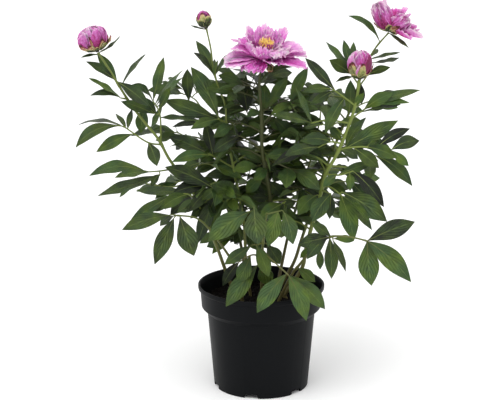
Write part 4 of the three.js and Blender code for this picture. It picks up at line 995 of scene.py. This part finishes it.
def petal(growth, where, heading, rise, end, length, width, cup, frill, tone, root, rng):
    """One petal. Its rib leaves the root (radius, height) at the elevation rise and bends evenly
    to the elevation end. The half width opens as a quarter sine wave. The far edge is rounded by
    the 2.6th power of the distance from the rib, and nibbled by two waves. The cup lifts the
    sides by the square of that distance. Long waves that grow towards the edge ruffle the petal
    by frill of its width, with painted light on their crests and painted shade in their troughs,
    and short ones crimp its margin."""
    axes, seat = where
    length, width = length / 1000, width / 1000
    v = np.linspace(0, 1, PETAL_GRID[0])[:, None]
    u = np.linspace(-1, 1, PETAL_GRID[1])[None, :]
    phases = rng.uniform(0, 2 * np.pi, 8)
    nibbled = frill * (0.28 * np.sin(13 * u + phases[0]) + 0.24 * np.sin(31 * u + phases[1]))
    along = v * (1 - 0.33 * np.abs(u) ** 2.6 * v - nibbled * v ** 5)
    half = width / 2 * (0.17 + 0.83 * np.sin(np.pi / 2 * np.minimum(v / 0.78, 1)))
    steps = np.linspace(0, 1, RIB_STEPS)
    slope = np.radians(rise + (end - rise) * steps)
    out_run = np.concatenate([[0], np.cumsum(np.cos(slope[:-1]))]) * length / (RIB_STEPS - 1)
    up_run = np.concatenate([[0], np.cumsum(np.sin(slope[:-1]))]) * length / (RIB_STEPS - 1)
    radius = np.interp(along, steps, out_run + root[0] / 1000)
    height = np.interp(along, steps, up_run + root[1] / 1000)
    tilt = np.interp(along, steps, slope)
    swell = (0.5 * np.sin(3.1 * u + phases[2]) + 0.34 * np.sin(7 * u + phases[3] + 2 * v)
             + 0.2 * np.sin(13 * u + phases[4] - 3 * v))
    crimp = (np.sin(25 * u + phases[5] + 4 * v) * v ** 4
             + np.sin(17 * v + phases[6]) * np.abs(u) ** 4)
    lift = cup * half * u ** 2 + frill * width * (swell * v ** 2 + 0.35 * crimp)
    turn = np.radians(heading)
    outward = np.cos(turn) * axes[0] + np.sin(turn) * axes[1]
    across = np.sin(turn) * axes[0] - np.cos(turn) * axes[1]
    normal = np.cos(tilt)[..., None] * axes[2] - np.sin(tilt)[..., None] * outward
    spread = (half * u * (1 - 0.35 * cup * np.abs(u)))[..., None] * across
    inner = seat + radius[..., None] * outward + height[..., None] * axes[2] + spread
    inner = inner + lift[..., None] * normal
    outer = inner - PETAL_THICKNESS * normal
    places = np.broadcast_arrays(u, v)
    ruffled = tone + RUFFLE_SHADE * (swell * v + 0.4 * crimp)
    growth.blade(outer, inner, places[0], places[1], ruffled)


def core(growth, where, levels, radii, sides, tone):
    """A round part on a bloom's own axis, with radii at levels over its seat, both in mm."""
    axes, seat = where
    path = seat + np.array(levels)[:, None] / 1000 * axes[2]
    growth.stalk(path, np.array(radii) / 1000, sides, tone, finish=0)


OPEN_CUP_DEPTH = 0.006
OPEN_ROOT_RADIUS = 9
open_frame = seat_on(open_bloom_stem, 16, -58, OPEN_CUP_DEPTH)
OPEN_PETALS = [
    # heading, rise and end in degrees, length and width in mm, cup, frill, tone, root's height
    (-160, 0, -26, 61, 52, 0.14, 0.05, 0.85, 1.6),
    (171, 30, -18, 52, 42, 0.18, 0.08, 0.75, 2.8),
    (-176, 2, -24, 60, 50, 0.14, 0.05, 0.85, 1.8),
    (146, 42, -18, 61, 40, 0.25, 0.11, 0.30, 1.6),
    (140, 30, 70, 58, 32, 0.30, 0.11, 0.75, 2.8),
    (92, 90, 22, 58, 50, 0.30, 0.13, 0.55, 1.6),
    (48, 42, 62, 62, 30, 0.40, 0.12, 0.60, 2.8),
    (12, 48, -2, 64, 50, 0.14, 0.06, 0.80, 1.6),
    (10, 24, -2, 67, 40, 0.20, 0.08, 0.75, 2.8),
    (-12, 14, -4, 58, 42, 0.16, 0.08, 0.45, 1.6),
    (-29, 18, -2, 73, 44, 0.14, 0.07, 0.30, 1.6),
    (-113, 0, -10, 55, 30, 0.16, 0.14, 0.15, 1.6),
    (-100, -6, -10, 40, 26, 0.16, 0.14, 0.25, 2.8),
    (-140, -18, -26, 40, 30, 0.16, 0.13, 0.20, 2.8),
    (-60, 18, 6, 34, 40, 0.20, 0.10, 0.20, 2.8),
    (-28, -6, 110, 40, 42, 0.30, 0.14, 0.75, 4.0),
    (-98, 6, 94, 49, 36, 0.30, 0.15, 0.40, 4.6),
    (-152, 0, 102, 40, 34, 0.30, 0.16, 0.35, 4.6),
    (-62, 76, -30, 45, 34, 0.20, 0.20, 0.85, 6.0),
    (-112, 74, -24, 43, 30, 0.20, 0.20, 0.75, 6.0),
    (-22, 72, -20, 43, 28, 0.20, 0.20, 0.90, 6.0),
    (2, 30, 46, 43, 34, 0.30, 0.11, 0.70, 5.2),
    (118, 54, 54, 40, 32, 0.30, 0.14, 0.55, 5.2),
    (160, 40, 60, 44, 30, 0.34, 0.12, 0.40, 4.6),
    (62, 48, 62, 46, 36, 0.30, 0.14, 0.45, 4.0),
    (30, 44, 70, 40, 28, 0.34, 0.13, 0.55, 4.6),
    (90, 64, 76, 44, 36, 0.30, 0.15, 0.60, 6.4),
    (76, 70, 100, 36, 30, 0.30, 0.15, 0.75, 6.4),
    (8, 58, 52, 30, 20, 0.50, 0.14, 0.98, 7.0),
    (-24, 54, 42, 28, 20, 0.50, 0.14, 0.98, 7.0),
    (-70, 30, 84, 27, 24, 0.40, 0.14, 0.85, 7.0),
]
rng = np.random.default_rng(31)
open_petals = Growth()
for *shape, tone, root_height in OPEN_PETALS:
    petal(open_petals, open_frame, *shape, tone, (OPEN_ROOT_RADIUS, root_height), rng)
core(open_petals, open_frame, [0.6, 2.0, 7.0, 8.6], [10, 13, 13, 8], sides=24, tone=0.5)
open_petals.piece(
    "open_bloom_ruffled_petals", "open_bloom_petals", "open_petals", [open_petal], 60,
)


# Stamens
# A tuft of pale threads stands round the pistils in the bowl of the flower. Each thread ends in
# a golden anther that is covered in pollen.
STAMEN_COUNT = 150
GOLDEN_ANGLE = np.pi * (3 - np.sqrt(5))
# The tuft's radius, which is 0.55 of this at its foot and 1.25 at its top, and its heights
TUFT_RADIUS = 0.0098
TUFT_FOOT = 0.0085
TUFT_TOP = (0.024, 0.035)
THREAD_RADIUS = 0.00035
ANTHER_SPAN = (-0.001, 0.0034)
ANTHER_RADII = np.array([0.25, 0.62, 0.78, 0.74, 0.6, 0.2]) / 1000
# A grain of pollen measures 0.03 mm, too fine to show, so clumps of it are drawn, in mm
POLLEN_CLUMP = 10 / 14

# Pollen lies as a dry powder on the anthers, grainy yellow without a gloss
anther_finish, anther_shader = new_finish("peony_anther_pollen")
anther_place = add_node(anther_finish, "TexCoord", output="Object")
pollen = add_node(
    anther_finish, "TexNoise", {"Vector": anther_place, "Scale": 1000 / POLLEN_CLUMP, "Detail": 2},
)
pollen_colour = add_node(
    anther_finish, "Mix", {0: pollen, 6: linear("#eab638"), 7: linear("#fff09a")},
    output=2, data_type="RGBA",
)
fill(anther_shader, {"Base Color": pollen_colour, "Roughness": 0.8})

stamens = Growth()
axes, seat = open_frame
for i in range(STAMEN_COUNT):
    reach = TUFT_RADIUS * np.sqrt((i + 0.5) / STAMEN_COUNT)
    turn = i * GOLDEN_ANGLE
    outward = np.cos(turn) * axes[0] + np.sin(turn) * axes[1]
    foot = seat + outward * 0.55 * reach + axes[2] * TUFT_FOOT
    head = seat + outward * 1.25 * reach + axes[2] * rng.uniform(*TUFT_TOP)
    bend = (foot + head) / 2 + outward * 0.0006
    stamens.stalk(smooth([foot, bend, head], 4), THREAD_RADIUS, sides=4, tone=0.5, finish=1)
    lean = unit(head - bend + rng.normal(0, 0.0012, 3))
    anther = head + lean * np.linspace(*ANTHER_SPAN, len(ANTHER_RADII))[:, None]
    stamens.stalk(anther, ANTHER_RADII, sides=6, tone=0.5, finish=0)
core(stamens, open_frame, [8.9, 10, 12.5, 13], [5.5, 6, 6, 3], sides=16, tone=0.5)
stamens.piece(
    "open_bloom_stamen_tuft", "open_bloom_stamens", "stamens", [anther_finish, open_petal],
)


# Calyx of the open bloom
# A green cup grown on the stem's end, with leathery sepals that folded down under the petals as
# the flower opened. The two at the right stand out further than the others.
open_calyx = Growth()
core(open_calyx, open_frame, [-6.0, -5.6, -3.5, -1.0, 0.0, 0.3],
     [2.4, 3.4, 6.0, 7.4, 7.2, 6.0], sides=20, tone=0.3)
for heading, rise in ((22, -32), (94, -42), (166, -32), (238, -42), (310, -14), (342, -26)):
    petal(open_calyx, open_frame, heading, rise, -48, 22, 18, 0.2, 0.03, 0.3, (4, -2.6), rng)
open_calyx.piece("open_bloom_green_calyx", "open_bloom_calyx", "sepals", [sepal_finish])


# Buds and the half open bloom
# Each is a ball of petals that hug one another, with leathery sepals round its foot, green to
# cream with a red-brown edge. The upper bloom is opening: it has parted in two such balls, and
# its outer petals have let go and droop to the right.
CUP_DEPTH = 0.0025
# Heights over the seat and radii of the green cup in mm
CUP_LEVELS = [-2.5, -2.2, -0.5, 1.5, 2.6]
CUP_RADII = [2.0, 2.8, 3.6, 4.2, 3.2]
# Share of a ball's height at which its middle lies over the seat, and the share of it that its
# closed heart fills
SEPAL_LEVEL = 1.06
HEART_SHARE = 0.8
# How far one side of a petal is tucked in and the other stands out, and how far every second one
# of a ring stands out, as shares of the ball. Then how much its tone follows its waves: painted
# light on their crests and painted shade in their troughs.
TUCK = 0.035
STAGGER = 0.012
WAVE_SHADE = 7
# How far chance turns a petal, in degrees, and shifts its tone
TURN_PLAY = 5
TONE_PLAY = 0.3
LOOSE_FRILL = 0.09
LOOSE_ROOT = (5, 4)
SEPAL_THICKNESS = 0.0009
HUGGING_GRID = (19, 31)
SEPAL_GRID = (15, 25)


def ball_middle(size):
    """How far above its seat the middle of a bud's ball lies, for its size in m."""
    return SEPAL_LEVEL * size[2] + 0.001


def hug(growth, where, size, heading, bottom, top, spread, level, curl, tone, ruffle, point,
        rng, thickness, grid):
    """A petal or sepal that hugs the ball of its bud: a patch between two latitudes, as wide as
    spread degrees to each side. Level is how far out it lies as a share of the ball's size. One
    side is tucked in and the other stands out, the tip curls out by curl, and waves of the height
    ruffle crimp it, with painted light on their crests and painted shade in their troughs. Point
    is how much the ball narrows to its pole."""
    axes, seat = where
    size = np.asarray(size) / 1000
    v = np.linspace(0, 1, grid[0])[:, None]
    u = np.linspace(-1, 1, grid[1])[None, :]
    phases = rng.uniform(0, 2 * np.pi, 5)
    nibbled = ruffle * (1.8 * np.sin(6 * u + phases[0]) + np.sin(19 * u + phases[1]))
    climb = v * (1 - (0.3 * np.abs(u) ** 2.2 + nibbled) * v)
    latitude = np.radians(bottom + (top - bottom) * climb)
    wide = np.minimum(1, 0.55 + 0.9 * v) * (1 - 0.42 * np.maximum(v - 0.55, 0) ** 1.4 / 0.327)
    longitude = np.radians(heading - spread * wide * u)
    wave = np.sin(5 * u + phases[2] + 3 * v) * v + 1.2 * np.sin(16 * u + phases[3]) * v ** 3
    out = level + TUCK * u + curl * v ** 4 + ruffle * wave
    narrow = 1 - point * np.maximum(np.sin(latitude), 0) ** 1.5

    def shell(grow):
        share = out + grow
        flat = share * np.cos(latitude) * narrow
        return (seat + (flat * size[0] * np.cos(longitude))[..., None] * axes[0]
                + (flat * size[1] * np.sin(longitude))[..., None] * axes[1]
                + (ball_middle(size) + share * size[2] * np.sin(latitude))[..., None] * axes[2])

    places = np.broadcast_arrays(u, v)
    growth.blade(shell(thickness / size[0]), shell(0), places[0], places[1],
                 tone + WAVE_SHADE * ruffle * wave)


def bud_core(growth, where, size, share):
    """The closed heart of a bud: an ellipsoid of share of its size, on a short neck."""
    axes, seat = where
    size = np.asarray(size) / 1000
    latitude = np.radians(np.linspace(-80, 88, 16))
    levels = ball_middle(size) + share * size[2] * np.sin(latitude)
    radii = share * size[0] * np.cos(latitude)
    levels = np.concatenate([[0.4 * levels[0]], levels])
    radii = np.concatenate([[0.003], radii])
    growth.stalk(seat + levels[:, None] * axes[2], radii, sides=24, tone=0.1, finish=0)


# Name, stem, height of the ruffles, point, balls, loose petals. A ball is (tilt, heading, size in
# mm, petals, sepals), and its petals and sepals stand in rings of (count, bottom, top, spread,
# level, curl, turn of the first, tone). A loose petal is (heading, rise, end, length, width, cup,
# tone).
BUDS = [
    ("upper_bloom", upper_bloom_stem, 0.06, 0, [
        (25, 182, (16, 16.5, 24.5), [
            (5, -62, 50, 44, 1.0, 0.06, -112, 0.45), (5, -40, 68, 42, 0.93, 0.10, -76, 0.75),
            (4, -10, 80, 46, 0.84, 0.08, 20, 0.2), (3, 20, 86, 50, 0.72, 0.05, 60, 0.9),
        ], [
            (4, -86, -34, 50, 1.05, 0.02, -90, -0.4), (2, -80, -14, 12, 1.09, 0.12, 160, 0.7),
        ]),
        (57, -8, (15, 15.5, 18.5), [
            (5, -62, 50, 46, 1.0, 0.06, -80, 0.6), (4, -40, 70, 46, 0.93, 0.08, -35, 0.25),
            (4, -10, 80, 50, 0.84, 0.06, 10, 0.8),
        ], [
            (5, -86, -34, 42, 1.05, 0.02, -60, -0.3), (3, -80, -6, 26, 1.08, 0.06, -88, 1.1),
        ]),
    ], [
        (178, 22, 58, 44, 10, 0.60, 0.30), (165, 46, 104, 52, 28, 0.50, 0.85),
        (-158, 40, 94, 49, 26, 0.50, 0.50), (60, 58, 74, 38, 36, 0.40, 0.15),
        (-70, 62, 84, 24, 22, 0.40, 0.95), (26, 52, 72, 45, 24, 0.60, 0.60),
        (14, 38, 58, 41, 24, 0.55, 0.30), (-6, -21, 14, 56, 38, 0.62, 0.95),
        (18, -14, 22, 52, 36, 0.62, 0.55), (-34, -28, 8, 41, 34, 0.55, 0.35),
        (4, -2, 36, 44, 28, 0.60, 0.20),
    ]),
    ("left_bud", left_bud_stem, 0.016, 0, [
        (20, 180, (25, 24.5, 20.5), [
            (5, -64, 46, 50, 1.0, 0.03, -120, 0.45), (5, -50, 64, 50, 0.97, 0.03, -84, 0.8),
            (4, -20, 78, 60, 0.94, 0.02, 10, 0.6), (3, 10, 86, 70, 0.91, 0, 50, 0.75),
        ], [
            (5, -80, -22, 31, 1.045, 0.02, -108, 1.0), (4, -80, -16, 20, 1.055, 0.05, -142, 1.1),
            (1, -80, 16, 7, 1.04, 0.03, -88, 1.3), (6, -86, -42, 34, 1.07, 0.02, -75, -0.4),
            (1, -80, -6, 24, 1.14, 0.12, 8, 0.6),
        ]),
    ], []),
    ("right_bud", right_bud_stem, 0.018, 0, [
        (2, 0, (19.5, 19.5, 22), [
            (1, -60, 60, 44, 1.03, 0.06, -36, -0.3), (1, -60, 46, 40, 1.05, 0.07, -144, 0.8),
            (1, -50, 66, 30, 0.97, 0.10, -96, 1.2), (1, -60, 8, 20, 1.09, 0.08, -100, 1.4),
            (3, -60, 56, 50, 1.0, 0.05, 20, 0.4), (5, -30, 72, 46, 0.95, 0.08, -70, 0.3),
            (4, 0, 84, 60, 0.90, 0.05, 20, 0.9),
        ], [
            (1, -86, -6, 24, 1.10, 0.04, -142, 0.8), (1, -86, 0, 27, 1.10, 0.04, -76, 0.8),
            (3, -86, 0, 32, 1.08, 0.05, -12, 0.5), (4, -86, -40, 48, 1.12, 0.0, -50, -0.3),
        ]),
    ], []),
    ("small_bud", small_bud_stem, 0.012, 0.32, [
        (14, 180, (12, 12, 13.6), [
            (4, -30, 82, 50, 0.95, 0.02, -84, -0.2), (3, -10, 90, 58, 0.90, 0.04, -30, 0.5),
        ], [
            (4, -70, 56, 40, 0.99, 0.02, -98, 1.0), (3, -86, 16, 56, 1.04, 0.04, -52, -0.3),
            (3, -86, -4, 52, 1.07, 0.0, -120, -0.4),
        ]),
    ], []),
]
for number, (name, stem, ruffle, point, balls, loose) in enumerate(BUDS):
    rng = np.random.default_rng(41 + number)
    # A flower of two balls stands on a cup that leans between them
    tilt, heading = balls[0][:2] if len(balls) == 1 else (10, 0)
    where = seat_on(stem, tilt, heading, CUP_DEPTH)
    petals, calyx = Growth(), Growth()
    for tilt, heading, size, petal_rings, sepal_rings in balls:
        ball = bloom_frame(where[1], tilt, heading)
        bud_core(petals, ball, size, HEART_SHARE - point / 3)
        for growth, rings, thickness, crimp, top_play, grid in (
            (petals, petal_rings, PETAL_THICKNESS, ruffle, 8, HUGGING_GRID),
            (calyx, sepal_rings, SEPAL_THICKNESS, 0.4 * ruffle, 12, SEPAL_GRID),
        ):
            for count, bottom, top, spread, level, curl, first, tone in rings:
                for i in range(count):
                    turn = first + i * 360 / count + rng.uniform(-TURN_PLAY, TURN_PLAY)
                    reach = top + rng.uniform(-top_play, top_play) * (top > -30)
                    shade = tone + rng.uniform(-TONE_PLAY, TONE_PLAY)
                    hug(growth, ball, size, turn, bottom, reach, spread, level + STAGGER * (i % 2),
                        curl, shade, crimp, point, rng, thickness, grid)
    for *shape, tone in loose:
        petal(petals, where, *shape, LOOSE_FRILL, tone, LOOSE_ROOT, rng)
    petals.piece(f"{name}_pink_petals", f"{name}_petals", "bud_petals", [bud_petal], 60)
    core(calyx, where, CUP_LEVELS, CUP_RADII, sides=16, tone=0.0)
    calyx.piece(f"{name}_green_calyx", f"{name}_calyx", "sepals", [sepal_finish])


# Soil
# Damp dark potting mix of peat and bark. It was poured in, so its top is a crust of crumbs, 30 mm
# below the rim, and its underside fills the pot, whose sizes stand here for that.
RIM_RADIUS = 0.1125
POT_HEIGHT = 0.187
COLLAR_FOOT = 0.147
SHOULDER_FOOT = 0.137
COLLAR_FOOT_RADIUS = 0.1064
SHOULDER_RADIUS = 0.096
FOOT_RADIUS = 0.0844
FLOOR_DISC_RADIUS = 0.060
CHANNEL_HEIGHT = 0.006
WALL = 0.0016
# How far a steep face of the pot slants sideways, so that it leaves its mould
SLANT = 0.002
SOIL_GAP = WALL + 0.00045
FLOOR_GAP = WALL + 0.0003
# Sizes of the crumbs of peat and of the flecks of bark in mm
PEAT_CRUMB = 100 / 26
BARK_FLECK = 100 / 22

# Damp peat is nearly black and has no gloss, and shreds of bark in it show as brown flecks
soil_finish, soil_shader = new_finish("potting_mix_damp_peat")
soil_place = add_node(soil_finish, "TexCoord", output="Object")
soil_grain = add_node(soil_finish, "TexNoise", {
    "Vector": soil_place, "Scale": 1000 / PEAT_CRUMB, "Detail": 6, "Roughness": 0.7,
})
bark = add_node(
    soil_finish, "TexVoronoi", {"Vector": soil_place, "Scale": 1000 / BARK_FLECK}, output="Color",
)
bark_share = add_node(soil_finish, "MapRange", {0: bark, 1: 0.82, 2: 0.95, 4: 0.6})
peat_colour = add_node(
    soil_finish, "Mix", {0: soil_grain, 6: linear("#060505"), 7: linear("#15100c")},
    output=2, data_type="RGBA",
)
soil_colour = add_node(
    soil_finish, "Mix", {0: bark_share, 6: peat_colour, 7: linear("#241b14")},
    output=2, data_type="RGBA",
)
soil_bump = add_node(
    soil_finish, "Bump", {"Strength": 0.8, "Distance": 0.0012, "Height": soil_grain},
)
fill(soil_shader, {
    "Base Color": soil_colour, "Normal": soil_bump, "Roughness": 0.95,
    "Specular IOR Level": 0.15,
})


def turned(radii, heights, sides):
    """A body turned round the pot's axis: rings at the given radii and heights, as a grid."""
    turn = np.linspace(0, 2 * np.pi, sides, endpoint=False)[None, :]
    radii, heights = np.broadcast_arrays(radii[:, None], heights[:, None])
    return np.stack([radii * np.cos(turn), radii * np.sin(turn), heights + 0 * turn], axis=-1)


SOIL_SIDES = 180
SOIL_MIDDLE = 0.012
CRUST_RINGS = 64
# How far the crust drops at its edge
CRUST_EDGE = 0.002
# Length and height of the waves in the crust, and the most that it rises
CRUST_WAVES = [(0.013, 0.0007), (0.007, 0.0005), (0.004, 0.0004), (0.0025, 0.0003)]
CRUST_RISE = 0.003
CRUMBS = 900
CRUMB_SIZES = (0.0008, 0.0026)
# A crumb is a short stick with five sides: where its rings lie and their radii, by its size
CRUMB_RINGS = np.array([[-1.0], [-0.3], [0.5], [1.1]])
CRUMB_RADII = np.array([0.35, 0.8, 0.7, 0.2])

edge_radius = COLLAR_FOOT_RADIUS - SOIL_GAP
under_radii = np.array([
    SOIL_MIDDLE, FLOOR_DISC_RADIUS - SLANT, FLOOR_DISC_RADIUS,
    FOOT_RADIUS - SOIL_GAP - SLANT, SHOULDER_RADIUS - SOIL_GAP, edge_radius, edge_radius,
])
under_heights = np.array([
    FLOOR_GAP, FLOOR_GAP, CHANNEL_HEIGHT + FLOOR_GAP, CHANNEL_HEIGHT + FLOOR_GAP,
    SHOULDER_FOOT, COLLAR_FOOT + SLANT / 2, SOIL_TOP - CRUST_EDGE,
])
crust_radii = np.linspace(edge_radius - 0.0004, 0.0012, CRUST_RINGS)
grid = turned(
    np.concatenate([under_radii, crust_radii]),
    np.concatenate([under_heights, np.full(CRUST_RINGS, SOIL_TOP)]), SOIL_SIDES,
)
crust = grid[len(under_radii):]
x, y = crust[..., 0], crust[..., 1]
soil_rng = np.random.default_rng(51)
bumps = 0.0008 * (np.sin(x / 0.011) + np.sin(y / 0.009 + 1))
for wavelength, height in CRUST_WAVES:
    for _ in range(5):
        turn, phase = soil_rng.uniform(0, 2 * np.pi, 2)
        run = x * np.cos(turn) + y * np.sin(turn)
        bumps = bumps + height * np.sin(2 * np.pi * run / wavelength + phase)
crust[..., 2] += np.minimum(bumps, CRUST_RISE)
soil = Growth()
soil.body(*ringed(grid, [0, 0, FLOOR_GAP], grid[-1].mean(axis=0)))
for _ in range(CRUMBS):
    away = (edge_radius - 0.003) * np.sqrt(soil_rng.uniform(0, 1))
    turn = soil_rng.uniform(0, 2 * np.pi)
    size = soil_rng.uniform(*CRUMB_SIZES)
    middle = np.array([away * np.cos(turn), away * np.sin(turn), SOIL_TOP + 0.0006])
    lie = unit(soil_rng.normal(0, 1, 3) * np.array([1, 1, 0.3]))
    soil.stalk(middle + lie * CRUMB_RINGS * size, size * CRUMB_RADII, sides=5, tone=0, finish=0)
soil.piece("soil_potting_mix", "soil", "potting_mix", [soil_finish], 70)


# Pot
# A nursery pot moulded in one shot from black polypropylene: a rolled lip, a deep collar, a
# shoulder to stack on, a tapered wall, and a foot with notches that let water out.
POT_SIDES = 360
LIP_FOOT = 0.178
LIP_WIDTH = 0.0032
COLLAR_TOP_RADIUS = 0.1086
CHANNEL_OUTER = FOOT_RADIUS - 0.005
CHANNEL_INNER = FLOOR_DISC_RADIUS + SLANT
FLOOR_MIDDLE = 0.020
CORNER_RADIUS = 0.0012
NOTCH_HALF_WIDTH = 0.012
NOTCH_HEIGHT = 0.007
NOTCH_COUNT = 6
NOTCH_TURN = np.radians(-102.5)
# The etched face of the mould leaves a grain of about 0.1 mm, drawn 1.1 mm wide to show, and
# pulling pots out of each other leaves scuffs, broad and long in mm
POT_GRAIN = 10 / 9
SCUFF_BREADTH = 1000 / 14
SCUFF_LENGTH = 200

# Moulded polypropylene has a satin face: nearly black, with a broad and uneven sheen
pot_finish, pot_shader = new_finish("polypropylene_black_moulded")
pot_place = add_node(pot_finish, "TexCoord", output="Object")
pot_grain = add_node(
    pot_finish, "TexNoise", {"Vector": pot_place, "Scale": 1000 / POT_GRAIN, "Detail": 2},
)
scuff_place = add_node(pot_finish, "Mapping", {
    "Vector": pot_place,
    "Scale": (1000 / SCUFF_BREADTH, 1000 / SCUFF_BREADTH, 1000 / SCUFF_LENGTH),
})
scuffs = add_node(
    pot_finish, "TexNoise", {"Vector": scuff_place, "Scale": 1, "Detail": 6, "Roughness": 0.65},
)
pot_colour = add_node(
    pot_finish, "Mix", {0: scuffs, 6: linear("#07080a"), 7: linear("#0e1012")},
    output=2, data_type="RGBA",
)
pot_gloss = add_node(pot_finish, "MapRange", {0: scuffs, 1: 0.3, 2: 0.7, 3: 0.4, 4: 0.56})
pot_bump = add_node(
    pot_finish, "Bump", {"Strength": 0.15, "Distance": 0.0003, "Height": pot_grain},
)
fill(pot_shader, {
    "Base Color": pot_colour, "Roughness": pot_gloss, "Normal": pot_bump, "IOR": 1.49,
    "Specular IOR Level": 0.08,
})


def rounded(corners, radius, steps=5):
    """A profile with its inner corners rounded: each becomes a parabola between the points that
    lie radius away from it, or half way, on its two sides."""
    corners = np.asarray(corners, float)
    before = corners[:-2] - corners[1:-1]
    after = corners[2:] - corners[1:-1]
    reach_before = np.minimum(radius, np.linalg.norm(before, axis=1) / 2)[:, None]
    reach_after = np.minimum(radius, np.linalg.norm(after, axis=1) / 2)[:, None]
    start = (corners[1:-1] + unit(before) * reach_before)[:, None]
    end = (corners[1:-1] + unit(after) * reach_after)[:, None]
    t = np.linspace(0, 1, steps)[None, :, None]
    arc = (1 - t) ** 2 * start + 2 * t * (1 - t) * corners[1:-1, None] + t ** 2 * end
    return np.vstack([corners[:1], arc.reshape(-1, 2), corners[-1:]])


pot_profile = rounded([
    (FLOOR_MIDDLE, 0), (FLOOR_DISC_RADIUS, 0), (CHANNEL_INNER, CHANNEL_HEIGHT),
    (CHANNEL_OUTER, CHANNEL_HEIGHT), (CHANNEL_OUTER + SLANT, 0), (FOOT_RADIUS, 0),
    (SHOULDER_RADIUS, SHOULDER_FOOT), (COLLAR_FOOT_RADIUS, COLLAR_FOOT),
    (COLLAR_TOP_RADIUS, LIP_FOOT), (RIM_RADIUS, LIP_FOOT + SLANT), (RIM_RADIUS, POT_HEIGHT),
    (RIM_RADIUS - LIP_WIDTH, POT_HEIGHT), (COLLAR_TOP_RADIUS - WALL, LIP_FOOT),
    (COLLAR_FOOT_RADIUS - WALL, COLLAR_FOOT), (SHOULDER_RADIUS - WALL, SHOULDER_FOOT),
    (FOOT_RADIUS - WALL - SLANT, CHANNEL_HEIGHT + WALL),
    (CHANNEL_INNER - SLANT / 2, CHANNEL_HEIGHT + WALL),
    (FLOOR_DISC_RADIUS - SLANT / 2, WALL), (FLOOR_MIDDLE, WALL),
], CORNER_RADIUS)
grid = turned(pot_profile[:, 0], pot_profile[:, 1], POT_SIDES)
# A notch lifts the low points of the outer wall to its roof, up to half its width to each side
pitch = 2 * np.pi / NOTCH_COUNT
turns = np.linspace(0, 2 * np.pi, POT_SIDES, endpoint=False)
from_notch = (turns - NOTCH_TURN + pitch / 2) % pitch - pitch / 2
in_notch = np.abs(from_notch) * FOOT_RADIUS < NOTCH_HALF_WIDTH
radius = np.hypot(grid[..., 0], grid[..., 1])
low_foot = (grid[..., 2] < NOTCH_HEIGHT) & (radius > CHANNEL_OUTER - SLANT / 2)
outer_wall = np.arange(len(pot_profile))[:, None] < len(pot_profile) // 2
grid[..., 2][low_foot & in_notch & outer_wall] = NOTCH_HEIGHT - 0.0004
pot = Growth()
pot.body(*ringed(grid, [0, 0, 0], [0, 0, WALL]))
pot.piece("pot_black_nursery", "pot", "pot_plastic", [pot_finish], 40)
